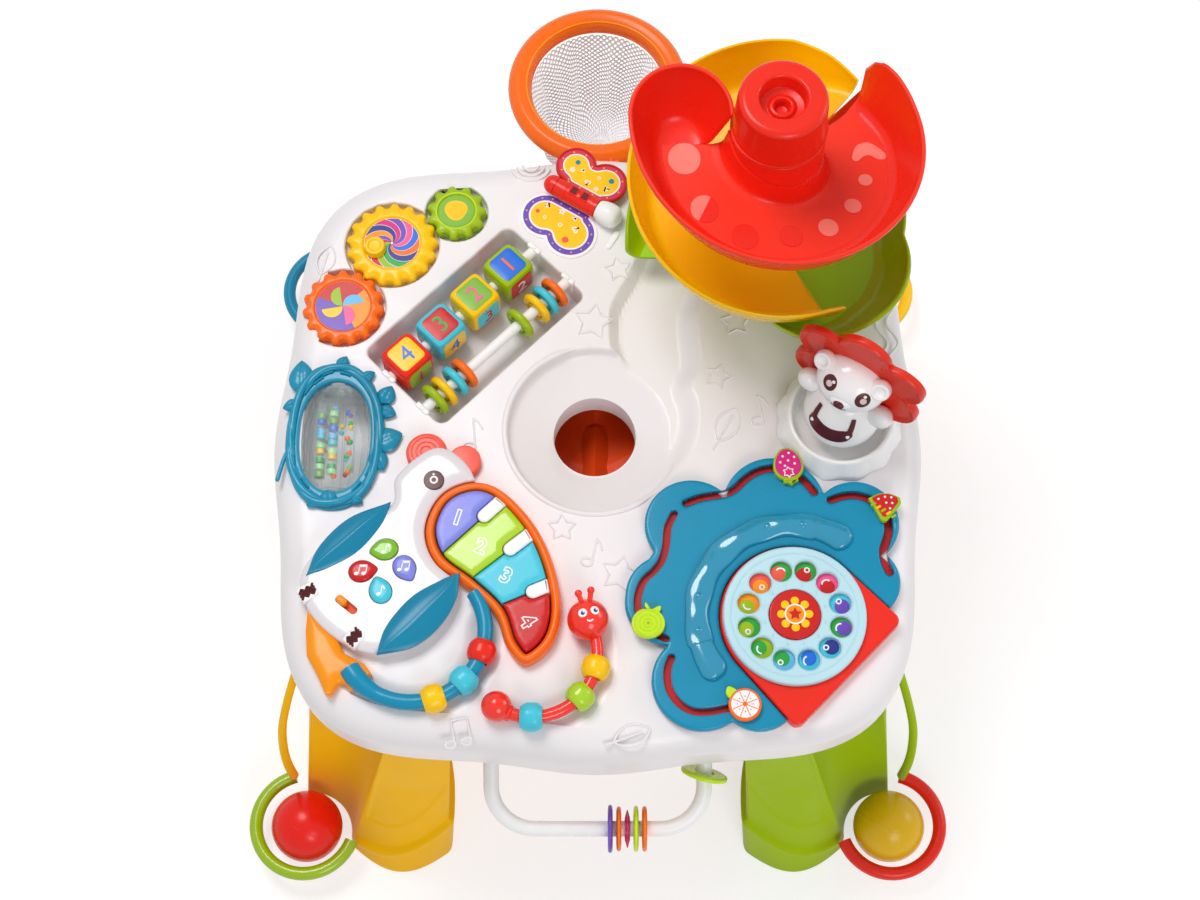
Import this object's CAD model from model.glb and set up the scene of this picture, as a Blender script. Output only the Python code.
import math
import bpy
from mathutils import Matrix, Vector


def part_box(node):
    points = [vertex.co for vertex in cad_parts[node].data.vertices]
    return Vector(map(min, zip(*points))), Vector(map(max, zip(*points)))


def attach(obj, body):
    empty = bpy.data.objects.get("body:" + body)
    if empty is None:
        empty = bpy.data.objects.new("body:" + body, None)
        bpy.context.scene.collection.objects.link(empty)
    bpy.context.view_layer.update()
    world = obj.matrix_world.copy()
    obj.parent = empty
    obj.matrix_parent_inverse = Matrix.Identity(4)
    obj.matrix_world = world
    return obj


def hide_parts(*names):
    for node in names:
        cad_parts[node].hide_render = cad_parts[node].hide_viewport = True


bl_info = {
    "name": "Musical Activity Table",
    "version": (1, 0, 0),
    "blender": (4, 5, 0),
    "location": "View3D > Sidebar > Activity Table",
    "description": "Builds the moulded pieces of a toddler's musical activity table on its fixed frame",
    "category": "Object",
}

import bmesh
import bpy
import numpy as np
from bpy.props import FloatProperty, FloatVectorProperty, PointerProperty
from mathutils import Vector
from mathutils.geometry import delaunay_2d_cdt

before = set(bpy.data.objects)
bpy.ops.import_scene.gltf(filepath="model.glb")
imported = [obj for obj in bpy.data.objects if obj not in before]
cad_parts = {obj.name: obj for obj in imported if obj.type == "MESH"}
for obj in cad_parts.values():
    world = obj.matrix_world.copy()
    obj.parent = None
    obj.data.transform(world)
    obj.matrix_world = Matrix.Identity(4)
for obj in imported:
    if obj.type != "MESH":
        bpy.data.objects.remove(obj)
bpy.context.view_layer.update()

# Table millimetres: X to the right, Y to the back, Z up from the floor, the tray centred on X 0, Y 0.
tray_low, tray_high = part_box("tray_base")
MID_Y = -500 * (tray_low.y + tray_high.y)
H = 240  # top of the tray
TRAY_HALF = 212  # from the tray's middle to a flat side
SKIRT = 197.6  # lower edge of the tray's side wall
RIM = 20  # radius of the tray's upper edge
DRUM_Z = 226  # axis of the rain drum
NO_SPOTS = np.zeros((0, 2))
SLOT_OF = {"red": "red", "crimson": "red", "orange": "orange", "tower": "yellow", "lime": "lime",
           "green_key": "lime", "lime_key": "lime", "cyan": "cyan", "violet": "violet"}


# ---------------------------------------------------------------- outlines

def polar(r, a):
    """Points at distance r and angle a degrees: (r cos a, r sin a)."""
    a = np.radians(a)
    return np.stack([r * np.cos(a), r * np.sin(a)], -1)


def circle(r, centre=(0, 0), n=64, start=0):
    """n points round a circle, counter-clockwise from the start angle."""
    return polar(r * np.ones(n), start + np.arange(n) * 360 / n) + centre


def arc(r, a0, a1, centre=(0, 0), n=32):
    """n points along a circle from angle a0 to a1 degrees, both ends included."""
    return polar(r * np.ones(n), np.linspace(a0, a1, n)) + centre


def turned(points, angle, about=(0, 0)):
    """Plan points turned by angle degrees about a point."""
    c, s = math.cos(math.radians(angle)), math.sin(math.radians(angle))
    p = np.asarray(points, float) - about
    return np.stack([c * p[..., 0] - s * p[..., 1], s * p[..., 0] + c * p[..., 1]], -1) + about


def spline(points, n=8, closed=True):
    """Catmull-Rom curve through the points, n steps a span: each span is the cubic whose end slopes
    are half the chord between the neighbours on either side."""
    p = np.asarray(points, float)
    if not closed:
        p = np.vstack([2 * p[:1] - p[1:2], p, 2 * p[-1:] - p[-2:-1]])
        a, b, c, d = p[:-3], p[1:-2], p[2:-1], p[3:]
    else:
        a, b, c, d = np.roll(p, 1, 0), p, np.roll(p, -1, 0), np.roll(p, -2, 0)
    t = (np.arange(n) / n)[None, :, None]
    a, b, c, d = (q[:, None, :] for q in (a, b, c, d))
    out = 0.5 * (2 * b + (c - a) * t + (2 * a - 5 * b + 4 * c - d) * t**2 + (3 * b - a - 3 * c + d) * t**3)
    out = out.reshape(-1, p.shape[1])
    return out if closed else np.vstack([out, p[-2:-1]])


def evenly(points, step, closed=True):
    """The same line with points every step along its length."""
    p = np.asarray(points, float)
    p = np.vstack([p, p[:1]]) if closed else p
    s = np.concatenate([[0], np.cumsum(np.linalg.norm(np.diff(p, axis=0), axis=1))])
    n = max(3, int(round(s[-1] / step)))
    at = np.linspace(0, s[-1], n + 1)[: n if closed else n + 1]
    return np.stack([np.interp(at, s, p[:, k]) for k in range(p.shape[1])], -1)


def softened(points, radius, step=1.0):
    """An outline with its corners rounded: points every step, each the average of its neighbours
    with bell-shaped weights that reach about the radius to either side."""
    p = evenly(points, step)
    k = np.arange(-int(2 * radius / step) - 1, int(2 * radius / step) + 2)
    w = np.exp(-((k * step / (0.7 * radius)) ** 2))
    return sum(np.roll(p, j, 0) * v for j, v in zip(k, w / w.sum()))


def inset(loop, d):
    """The counter-clockwise outline moved inwards by d: each corner goes along the sum of its two
    edges' normals, divided by one plus their dot product."""
    p = np.asarray(loop, float)
    e = np.roll(p, -1, 0) - p
    e /= np.maximum(np.linalg.norm(e, axis=1, keepdims=True), 1e-9)
    n = np.stack([-e[:, 1], e[:, 0]], -1)
    m = np.roll(n, 1, 0)
    return p + d * (n + m) / np.maximum(1 + (n * m).sum(1, keepdims=True), 0.35)


def rounded_box(w, l, r, centre=(0, 0), n=6):
    """A w by l rectangle with corners of radius r."""
    corners = [arc(r, a, a + 90, (sx * (w / 2 - r), sy * (l / 2 - r)), n)
               for a, sx, sy in ((0, 1, 1), (90, -1, 1), (180, -1, -1), (270, 1, -1))]
    return np.vstack(corners) + centre


def strip(path, width):
    """The outline of a plan line of the given width (a number, or one for each point)."""
    p = np.asarray(path, float)
    t = np.gradient(p, axis=0)
    t /= np.linalg.norm(t, axis=1, keepdims=True)
    n = np.stack([-t[:, 1], t[:, 0]], -1) * (np.broadcast_to(width, len(p))[:, None] / 2)
    return np.vstack([p - n, (p + n)[::-1]])


def inside(points, loop):
    """Which points lie inside the loop: a ray to the right crosses it an odd number of times."""
    x, y = np.asarray(points, float).T[:, :, None]
    a, b = np.asarray(loop, float), np.roll(loop, -1, 0)
    cross = (a[:, 1] > y) != (b[:, 1] > y)
    at = (b[:, 0] - a[:, 0]) * (y - a[:, 1]) / np.where(b[:, 1] == a[:, 1], 1e-12,
                                                        b[:, 1] - a[:, 1]) + a[:, 0]
    return (cross & (x < at)).sum(1) % 2 == 1


def gap_to(points, line, closed=True):
    """The distance from each point to the nearest place on the line."""
    a = np.asarray(line, float)
    b = np.roll(a, -1, 0) if closed else a[1:]
    a = a if closed else a[:-1]
    p = np.asarray(points, float)[:, None, :]
    d = b - a
    t = np.clip(((p - a) * d).sum(2) / np.maximum((d * d).sum(1), 1e-12), 0, 1)
    return np.linalg.norm(p - a - t[..., None] * d, axis=2).min(1)


def depth_in(points, loop):
    """How far inside the loop each point lies, and how far outside as a negative number."""
    return gap_to(points, loop) * np.where(inside(points, loop), 1, -1)


def joined(loops, keep):
    """The outlines of a region made from several outlines: the plan is cut into triangles along all of
    them, keep(centres) tells which triangles belong, and their open edges are chained into loops."""
    loops = [np.asarray(l, float) for l in loops]
    starts = np.cumsum([0] + [len(l) for l in loops])
    edges = [(s + k, s + (k + 1) % len(l)) for s, l in zip(starts, loops) for k in range(len(l))]
    flat = [Vector(p) for l in loops for p in l.tolist()]
    v, _, f, *_ = delaunay_2d_cdt(flat, edges, [], 0, 1e-4, False)
    v, f = np.array([tuple(p) for p in v]), np.array(f)
    f = f[keep(v[f].mean(1))]
    e = np.vstack([f[:, [0, 1]], f[:, [1, 2]], f[:, [2, 0]]])
    have = set(map(tuple, e.tolist()))
    after = {}
    for a, b in have:
        if (b, a) not in have:
            after.setdefault(a, []).append(b)
    out = []
    while after:
        first = next(iter(after))
        chain, at = [], first
        while at in after:
            chain.append(at)
            ways = after[at]
            step = ways.pop()
            if not ways:
                del after[at]
            at = step
        out.append(v[chain])
    return sorted(out, key=lambda l: -abs(area(l)))


def area(loop):
    """Half the sum of the cross products of neighbouring corners: above 0 where it runs counter-clockwise."""
    a, b = np.asarray(loop, float), np.roll(loop, -1, 0)
    return 0.5 * float((a[:, 0] * b[:, 1] - b[:, 0] * a[:, 1]).sum())


def union(*loops):
    """The outer outline of overlapping outlines."""
    return joined(loops, lambda c: np.any([inside(c, l) for l in loops], axis=0))[0]


# ---------------------------------------------------------------- surfaces, as (rings, points, 3) arrays

def level(loop, z):
    """A plan outline at height z."""
    p = np.asarray(loop, float)
    return np.concatenate([p, np.broadcast_to(z, len(p))[:, None]], 1)


def stacked(loop, profile):
    """One ring for each (inset, height) of the profile: the outline moved in by the inset."""
    return np.array([level(inset(loop, d), z) for d, z in profile])


def rounded(z0, z1, top=1.0, foot=0.0, n=5):
    """The profile of a slab from z0 to z1 with a quarter circle at its top edge, and at its foot."""
    a = np.linspace(0, math.pi / 2, n)
    low = [(foot * (1 - math.sin(t)), z0 + foot * (1 - math.cos(t))) for t in a] if foot else [(0, z0)]
    high = [(top * (1 - math.cos(t)), z1 - top * (1 - math.sin(t))) for t in a] if top else [(0, z1)]
    return low + high


def lathe(profile, centre=(0, 0, 0), n=72):
    """Each (radius, height) of the profile carried round the Z axis."""
    p = np.asarray(profile, float)
    a = np.arange(n) * 2 * math.pi / n
    ring = np.stack([np.outer(p[:, 0], np.cos(a)), np.outer(p[:, 0], np.sin(a)),
                     np.repeat(p[:, 1:2], n, 1)], -1)
    return ring + centre


def round_profile(points, n=4):
    """A profile of (radius, height, fillet) corners, each cut by a circular fillet: the curve between the
    two tangent points is a quadratic through the corner's control point."""
    out = []
    p = [np.array(q[:2], float) for q in points]
    for k, q in enumerate(points):
        f = q[2] if len(q) > 2 else 0
        if not f or k in (0, len(points) - 1):
            out.append(p[k])
            continue
        a, b = p[k - 1] - p[k], p[k + 1] - p[k]
        la, lb = np.linalg.norm(a), np.linalg.norm(b)
        f = min(f, 0.49 * la, 0.49 * lb)
        a, b = p[k] + a / la * f, p[k] + b / lb * f
        out += [(1 - t) ** 2 * a + 2 * t * (1 - t) * p[k] + t * t * b for t in np.linspace(0, 1, n + 1)]
    return np.array(out)


def sweep(path, section, up=(0, 0, 1), size=1.0, closed=False):
    """An outline carried along a path. At each point its first axis lies along path direction x up,
    its second across both, scaled by size."""
    p = np.asarray(path, float)
    if closed:
        t = np.roll(p, -1, 0) - np.roll(p, 1, 0)
    else:
        t = np.gradient(p, axis=0)
    t /= np.maximum(np.linalg.norm(t, axis=1, keepdims=True), 1e-12)
    side = np.cross(t, np.broadcast_to(np.asarray(up, float), p.shape))
    side /= np.maximum(np.linalg.norm(side, axis=1, keepdims=True), 1e-12)
    top = np.cross(side, t)
    s = np.asarray(section, float)
    k = np.broadcast_to(size, len(p))[:, None, None]
    return p[:, None, :] + k * (s[None, :, :1] * side[:, None, :] + s[None, :, 1:2] * top[:, None, :])


def tube(path, r, up=(0, 0, 1), n=16, ends=5, closed=False):
    """A round tube along a path with half-ball ends: past each end the section shrinks by the cosine of
    an angle while it moves on by its sine."""
    p = np.asarray(path, float)
    if closed:
        return sweep(p, circle(r, n=n), up, closed=True)
    a = np.linspace(0, math.pi / 2, ends + 1)[1:]
    d0, d1 = p[0] - p[1], p[-1] - p[-2]
    d0, d1 = d0 / np.linalg.norm(d0), d1 / np.linalg.norm(d1)
    p = np.vstack([p[0] + r * np.sin(a[::-1])[:, None] * d0, p, p[-1] + r * np.sin(a)[:, None] * d1])
    k = np.concatenate([np.maximum(np.cos(a[::-1]), 1e-4), np.ones(len(p) - 2 * ends),
                        np.maximum(np.cos(a), 1e-4)])
    return sweep(p, circle(r, n=n), up, size=k)


def ball(r, centre=(0, 0, 0), n=48, squash=(1, 1, 1)):
    """A ball, or an ellipsoid of the squashed radii."""
    a = np.linspace(-math.pi / 2, math.pi / 2, n // 2 + 1)
    return lathe(np.stack([r * np.maximum(np.cos(a), 1e-6), r * np.sin(a)], -1),
                 n=n) * np.array(squash) + centre


def posed(points, origin, angle=0, tilt=0, tip=0):
    """Points of a piece drawn round its own origin: tipped about its Y, tilted about its X, then turned
    about Z, and moved to origin. Angles in degrees."""
    p = np.asarray(points, float)
    for a, i, j in ((tip, 2, 0), (tilt, 1, 2), (angle, 0, 1)):
        c, s = math.cos(math.radians(a)), math.sin(math.radians(a))
        q = p.copy()
        q[..., i], q[..., j] = c * p[..., i] - s * p[..., j], s * p[..., i] + c * p[..., j]
        p = q
    return p + origin


def numeral(word, size, swell=0.0):
    """A figure or sign from the built-in font, centred, as flat points and faces; swell thickens its
    strokes."""
    curve = bpy.data.curves.new("figure", "FONT")
    curve.offset = swell
    curve.body, curve.size, curve.align_x, curve.align_y = word, size, "CENTER", "CENTER"
    curve.resolution_u = 3
    obj = bpy.data.objects.new("figure", curve)
    mesh = obj.to_mesh()
    points = np.array([tuple(v.co) for v in mesh.vertices])
    faces = [tuple(p.vertices) for p in mesh.polygons]
    obj.to_mesh_clear()
    bpy.data.objects.remove(obj)
    bpy.data.curves.remove(curve)
    points -= (points.max(0) + points.min(0)) / 2
    return points, faces


class Piece:
    """Gathers surfaces in table millimetres, each with its finish, and makes one mesh of them."""

    def __init__(self):
        self.points, self.faces, self.finish, self.slots, self.count = [], [], [], [], 0

    def mesh(self, points, faces, finish):
        points = np.asarray(points, float).reshape(-1, 3)
        if finish not in self.slots:
            self.slots.append(finish)
        self.points.append(points)
        self.faces += [[self.count + k for k in f] for f in faces]
        self.finish += [self.slots.index(finish)] * len(faces)
        self.count += len(points)
        return self

    def rings(self, rings, finish, loop=False, wrap=True, caps=True):
        """Joins neighbouring rings with quads, closes each ring on itself, and puts a face on both ends."""
        r, n = rings.shape[:2]
        i = np.arange(r * n).reshape(r, n)
        j = np.vstack([i, i[:1]]) if loop else i
        j = np.hstack([j, j[:, :1]]) if wrap else j
        quads = np.stack([j[:-1, :-1], j[:-1, 1:], j[1:, 1:], j[1:, :-1]], -1).reshape(-1, 4).tolist()
        if caps and wrap and not loop:
            quads += [i[0, ::-1].tolist(), i[-1].tolist()]
        return self.mesh(rings, quads, finish)

    def slab(self, loop, z0, z1, finish, top=1.0, foot=0.0, pose=None):
        """A flat piece of the outline with rounded edges."""
        rings = stacked(loop, rounded(z0, z1, top, foot))
        return self.rings(rings if pose is None else pose(rings), finish)

    def printed(self, loop, z, finish, thick=0.2, pose=None):
        """A printed or inlaid patch: the outline as a thin plate that stands on height z."""
        rings = np.array([level(loop, z - 0.1), level(loop, z + thick * 0.6),
                          level(inset(loop, 0.08), z + thick)])
        return self.rings(rings if pose is None else pose(rings), finish)

    def figure(self, word, size, z, finish, place=(0, 0), angle=0, thick=0.25, pose=None, swell=0.0):
        """A raised figure on height z."""
        points, faces = numeral(word, size, swell)
        flat = turned(points[:, :2], angle) + place
        n = len(flat)
        count = {}
        for f in faces:
            for a, b in zip(f, f[1:] + f[:1]):
                count[(a, b)] = True
        rim = [(a, b) for a, b in count if (b, a) not in count]
        solid = np.vstack([level(flat, z + thick), level(flat, z - 0.1)])
        every = [list(f) for f in faces] + [[k + n for k in f[::-1]]
                                            for f in faces] + [[a, a + n, b + n, b] for a, b in rim]
        return self.mesh(solid if pose is None else pose(solid), every, finish)

    def make(self, name, body="table", replaces=(), slot=None, sharp=38, recalc=True):
        """The mesh, merged where points meet, its faces turned outwards and its normals weighted by area."""
        mesh = bpy.data.meshes.new(name)
        points = (np.vstack(self.points) - [0, MID_Y, 0]) / 1000
        mesh.from_pydata(points.tolist(), [], self.faces)
        for finish in self.slots:
            mesh.materials.append(finish_of(finish))
        mesh.polygons.foreach_set("material_index", self.finish)
        work = bmesh.new()
        work.from_mesh(mesh)
        bmesh.ops.remove_doubles(work, verts=work.verts, dist=2e-6)
        bmesh.ops.dissolve_degenerate(work, edges=work.edges, dist=1e-6)
        if recalc:
            bmesh.ops.recalc_face_normals(work, faces=work.faces)
        work.to_mesh(mesh)
        work.free()
        mesh.shade_smooth()
        mesh.set_sharp_from_angle(angle=math.radians(sharp))
        obj = bpy.data.objects.new(name, mesh)
        bpy.context.scene.collection.objects.link(obj)
        even = obj.modifiers.new("even shading", "WEIGHTED_NORMAL")
        even.keep_sharp = True
        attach(obj, body)
        if replaces:
            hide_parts(*([replaces] if isinstance(replaces, str) else replaces))
        return obj


def field(outer, holes, lines, spots, height):
    """A sheet over a plan: the outline, its holes, guide lines and spots are joined into triangles, the
    ones outside are left out, and every point is lifted to height(x, y)."""
    loops = [np.asarray(l, float) for l in [outer, *holes, *lines]]
    starts = np.cumsum([0] + [len(l) for l in loops])
    edges = [(int(s) + k, int(s) + (k + 1) % len(l)) for s, l in zip(starts, loops) for k in range(len(l))]
    flat = np.vstack(loops + [np.asarray(spots, float).reshape(-1, 2)])
    v, _, f, *_ = delaunay_2d_cdt([Vector(p) for p in flat.tolist()], edges, [], 0, 1e-3, False)
    v, f = np.array([tuple(p) for p in v]), np.array(f)
    c = v[f].mean(1)
    keep = inside(c, outer)
    for hole in holes:
        keep &= ~inside(c, hole)
    return level(v, height(v)), f[keep].tolist()


def flat_field(outer, holes, z):
    """The outline less its holes as a flat sheet at height z."""
    return field(outer, holes, [], NO_SPOTS, lambda p: np.full(len(p), z))


# ---------------------------------------------------------------- colours and finishes

def colour(name, note, value):
    return FloatVectorProperty(name=name, description=note, size=3, subtype="COLOR_GAMMA", min=0, max=1,
                               default=tuple(v / 255 for v in value))


class TableColours(bpy.types.PropertyGroup):
    """The moulding and print colours, as they look on a screen."""
    tray: colour("Tray", "Satin white of the round tray", (238, 234, 236))
    white: colour("White", "Glossy white of the phone, bird, rods and notes", (247, 246, 246))
    red: colour("Red", "Bright red of the upper ramp, the phone's base and loops", (238, 38, 18))
    crimson: colour("Crimson", "Deeper red of the capsule, keys and stickers", (205, 24, 24))
    tower: colour("Ramp yellow", "Yellow of the middle ramp", (255, 202, 0))
    leg: colour("Leg yellow", "Deep yellow of a leg", (252, 190, 0))
    lime: colour("Lime", "Yellow green of a leg and the lowest ramp", (158, 190, 0))
    green: colour("Green", "Middle green of buttons, beads and fruit leaves", (40, 165, 60))
    orange: colour("Orange", "Orange of the hoop, the key frame and a leg", (255, 112, 14))
    amber: colour("Amber", "Yellow orange of the gear and the ramp floor", (255, 150, 0))
    teal: colour("Teal", "Blue green of the rails and tail", (0, 140, 178))
    ocean: colour("Ocean", "Deeper blue green of the wings", (0, 130, 166))
    cyan: colour("Cyan", "Light blue green of beads and a button", (70, 200, 222))
    blue: colour("Blue", "Clear blue of a button and stickers", (30, 110, 220))
    navy: colour("Navy", "Dark blue of prints", (40, 50, 140))
    sky: colour("Sky", "Pale blue of the number dial", (188, 226, 236))
    violet: colour("Violet", "Blue violet of a key", (130, 136, 228))
    purple: colour("Purple", "Purple of discs and prints", (112, 76, 186))
    magenta: colour("Magenta", "Pink red of the berry and a disc", (216, 34, 128))
    pink: colour("Pink", "Pink of prints", (255, 90, 150))
    coral: colour("Coral", "Pale red of the comb", (246, 92, 72))
    brown: colour("Brown", "Dark brown of the feet, pocket and eyes", (84, 22, 26))
    ball_red: colour("Red ball", "Colour of the red ball", (236, 26, 12))
    ball_yellow: colour("Yellow ball", "Colour of the yellow ball", (230, 182, 14))
    net: colour("Net", "Knitted net under the hoop", (246, 245, 250))
    steel: colour("Steel", "Screws and battery cans", (150, 152, 156))
    grey: colour("Grey", "Hidden inner parts", (110, 110, 115))
    board: colour("Board", "Circuit board", (30, 92, 52))
    floor: colour("Floor", "Studio floor and backdrop", (250, 250, 250))


class TableSizes(bpy.types.PropertyGroup):
    """Sizes of the finish and of fine details that the frame leaves open."""
    grain: FloatProperty(name="Grain", description="Width of the fine moulding grain", default=0.0006,
                         min=0.0001, max=0.01, subtype="DISTANCE", unit="LENGTH")
    net_cell: FloatProperty(name="Net cell", description="Side of one opening of the knitted net",
                            default=0.0044, min=0.001, max=0.02, subtype="DISTANCE", unit="LENGTH")
    key_light: FloatProperty(name="Key light", description="Power of the large soft light overhead",
                             default=17.0, min=0, max=500, subtype="POWER", unit="POWER")


FINISHES = {}


def finish_of(name):
    if name not in FINISHES:
        raise RuntimeError(f"no finish named {name}")
    return FINISHES[name]


def linear(rgb):
    """Screen colour to light: c / 12.92 below 0.04045, else ((c + 0.055) / 1.055) ^ 2.4."""
    c = np.asarray(rgb, float)
    return np.where(c <= 0.04045, c / 12.92, ((c + 0.055) / 1.055) ** 2.4)


def plug(tree, node, inputs):
    """Links each socket to its input of the node, and sets each plain value."""
    for key, value in inputs.items():
        if isinstance(value, bpy.types.NodeSocket):
            tree.links.new(value, node.inputs[key])
        else:
            node.inputs[key].default_value = value
    return node


def add_node(tree, kind, inputs=None, **settings):
    node = tree.nodes.new(kind)
    for key, value in settings.items():
        setattr(node, key, value)
    return plug(tree, node, inputs or {})


def seen_rays(tree):
    """1 on the camera's rays and on those through gloss and glass, 0 on all others."""
    rays = add_node(tree, "ShaderNodeLightPath").outputs
    seen = rays["Is Camera Ray"]
    for kind in ("Is Glossy Ray", "Is Transmission Ray"):
        seen = add_node(tree, "ShaderNodeMath", {0: seen, 1: rays[kind]}, operation="MAXIMUM").outputs[0]
    return seen


class Nodes:
    """Short calls for building one material's nodes."""

    def __init__(self, name):
        self.material = bpy.data.materials.new(name)
        self.material.use_nodes = True
        self.tree = self.material.node_tree
        self.shader = self.tree.nodes["Principled BSDF"]
        self.where = self.add("ShaderNodeTexCoord").outputs["Object"]

    def add(self, kind, inputs=None, **settings):
        return add_node(self.tree, kind, inputs, **settings)

    def noise(self, scale, detail=3.0):
        return self.add("ShaderNodeTexNoise", {"Vector": self.where, "Scale": scale,
                                               "Detail": detail}).outputs["Fac"]

    def between(self, factor, low, high):
        """Maps 0.35..0.65 of a noise to low..high, straight."""
        return self.add("ShaderNodeMapRange", {"Value": factor, "From Min": 0.35, "From Max": 0.65,
                                               "To Min": low, "To Max": high}).outputs["Result"]

    def mixed(self, factor, a, b):
        return self.add("ShaderNodeMix", {0: factor, 6: (*a, 1), 7: (*b, 1)}, data_type="RGBA").outputs[2]

    def bump(self, height, strength, distance, **more):
        inputs = {"Height": height, "Strength": strength, "Distance": distance, **more}
        return self.add("ShaderNodeBump", inputs).outputs["Normal"]

    def finish(self, name, inputs):
        """Fills the surface's inputs and keeps the material under its name."""
        plug(self.tree, self.shader, inputs)
        FINISHES[name] = self.material
        return self.material


def moulded(name, rgb, rough=0.26, grain=0.12, coat=0.0, uneven=0.03, through=0.0, size=0.0006):
    """Injection-moulded plastic: flow marks vary the colour a little in wide soft clouds, handling varies
    the gloss, and a very fine grain with slight sink waves bumps the surface."""
    n = Nodes(name)
    base = linear(rgb)
    cloud = n.between(n.noise(9.0, 2.0), 0.0, 1.0)
    dark, light = base * (1 - uneven), np.minimum(base * (1 + 0.6 * uneven) + 0.002, 1)
    fine = n.bump(n.noise(0.5 / size, 2.0), grain, size * 0.25)
    inputs = {"Base Color": n.mixed(cloud, dark, light),
              "Roughness": n.between(n.noise(55.0, 5.0), rough * 0.93, rough * 1.1),
              "Normal": n.bump(n.noise(22.0, 1.0), 0.05, 0.004, Normal=fine),
              "IOR": 1.36, "Coat Weight": coat, "Coat Roughness": 0.08}
    if through:
        inputs.update({"Subsurface Weight": through, "Subsurface Scale": 0.004,
                       "Subsurface Radius": (1.0, 0.8, 0.7)})
    n.material.diffuse_color = (*base, 1)
    return n.finish(name, inputs)


def see_through(name, rgb, rough=0.05, thin=0.75):
    """Clear plastic: mostly transmitting, tinted by its colour, with faint swirls in the gloss."""
    n = Nodes(name)
    base = linear(rgb)
    swirl = n.between(n.noise(30.0, 2.0), 0.0, 1.0)
    return n.finish(name, {
        "Base Color": n.mixed(swirl, base * 0.97, np.minimum(base * 1.02, 1)),
        "Roughness": n.between(n.noise(60.0, 4.0), rough * 0.6, rough * 1.6),
        "Transmission Weight": thin, "IOR": 1.2, "Alpha": 0.3})


def metal(name, rgb, rough=0.35):
    """Drawn steel: fine streaks in roughness along the piece."""
    n = Nodes(name)
    base = linear(rgb)
    return n.finish(name, {
        "Metallic": 1, "Base Color": n.mixed(n.between(n.noise(120.0, 4.0), 0, 1), base * 0.85, base),
        "Roughness": n.between(n.noise(300.0, 3.0), rough * 0.7, rough * 1.4)})


def netting(name, rgb):
    """Knitted net on the sheet's own UV map, whose unit is one cell: a strand lies where the distance to the
    nearest diamond line of the grid is small, with knots where lines cross and holes between them."""
    n = Nodes(name)
    base = linear(rgb)
    uv = n.add("ShaderNodeUVMap", uv_map="cells").outputs["UV"]
    x, y, _ = n.add("ShaderNodeSeparateXYZ", {"Vector": uv}).outputs

    def math_of(operation, *values):
        return n.add("ShaderNodeMath", dict(enumerate(values)), operation=operation).outputs[0]

    def to_line(value):
        return math_of("ABSOLUTE", math_of("SUBTRACT", math_of("FRACT", value), 0.5))

    a, b = to_line(math_of("ADD", x, y)), to_line(math_of("SUBTRACT", x, y))
    line = math_of("MINIMUM", a, b)
    knot = math_of("ADD", math_of("MULTIPLY", a, a), math_of("MULTIPLY", b, b))
    fibre = n.noise(900.0, 4.0)
    round_line = math_of("SUBTRACT", 1.0, math_of("MULTIPLY", line, 4.0))
    return n.finish(name, {
        "Base Color": n.mixed(n.between(fibre, 0, 1), base * 0.82, base),
        "Roughness": n.between(fibre, 0.75, 0.95),
        "Alpha": math_of("MAXIMUM", math_of("LESS_THAN", line, 0.18), math_of("LESS_THAN", knot, 0.12)),
        "Normal": n.bump(math_of("ADD", round_line, fibre), 0.5, 0.0004), "Sheen Weight": 0.3})


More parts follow.
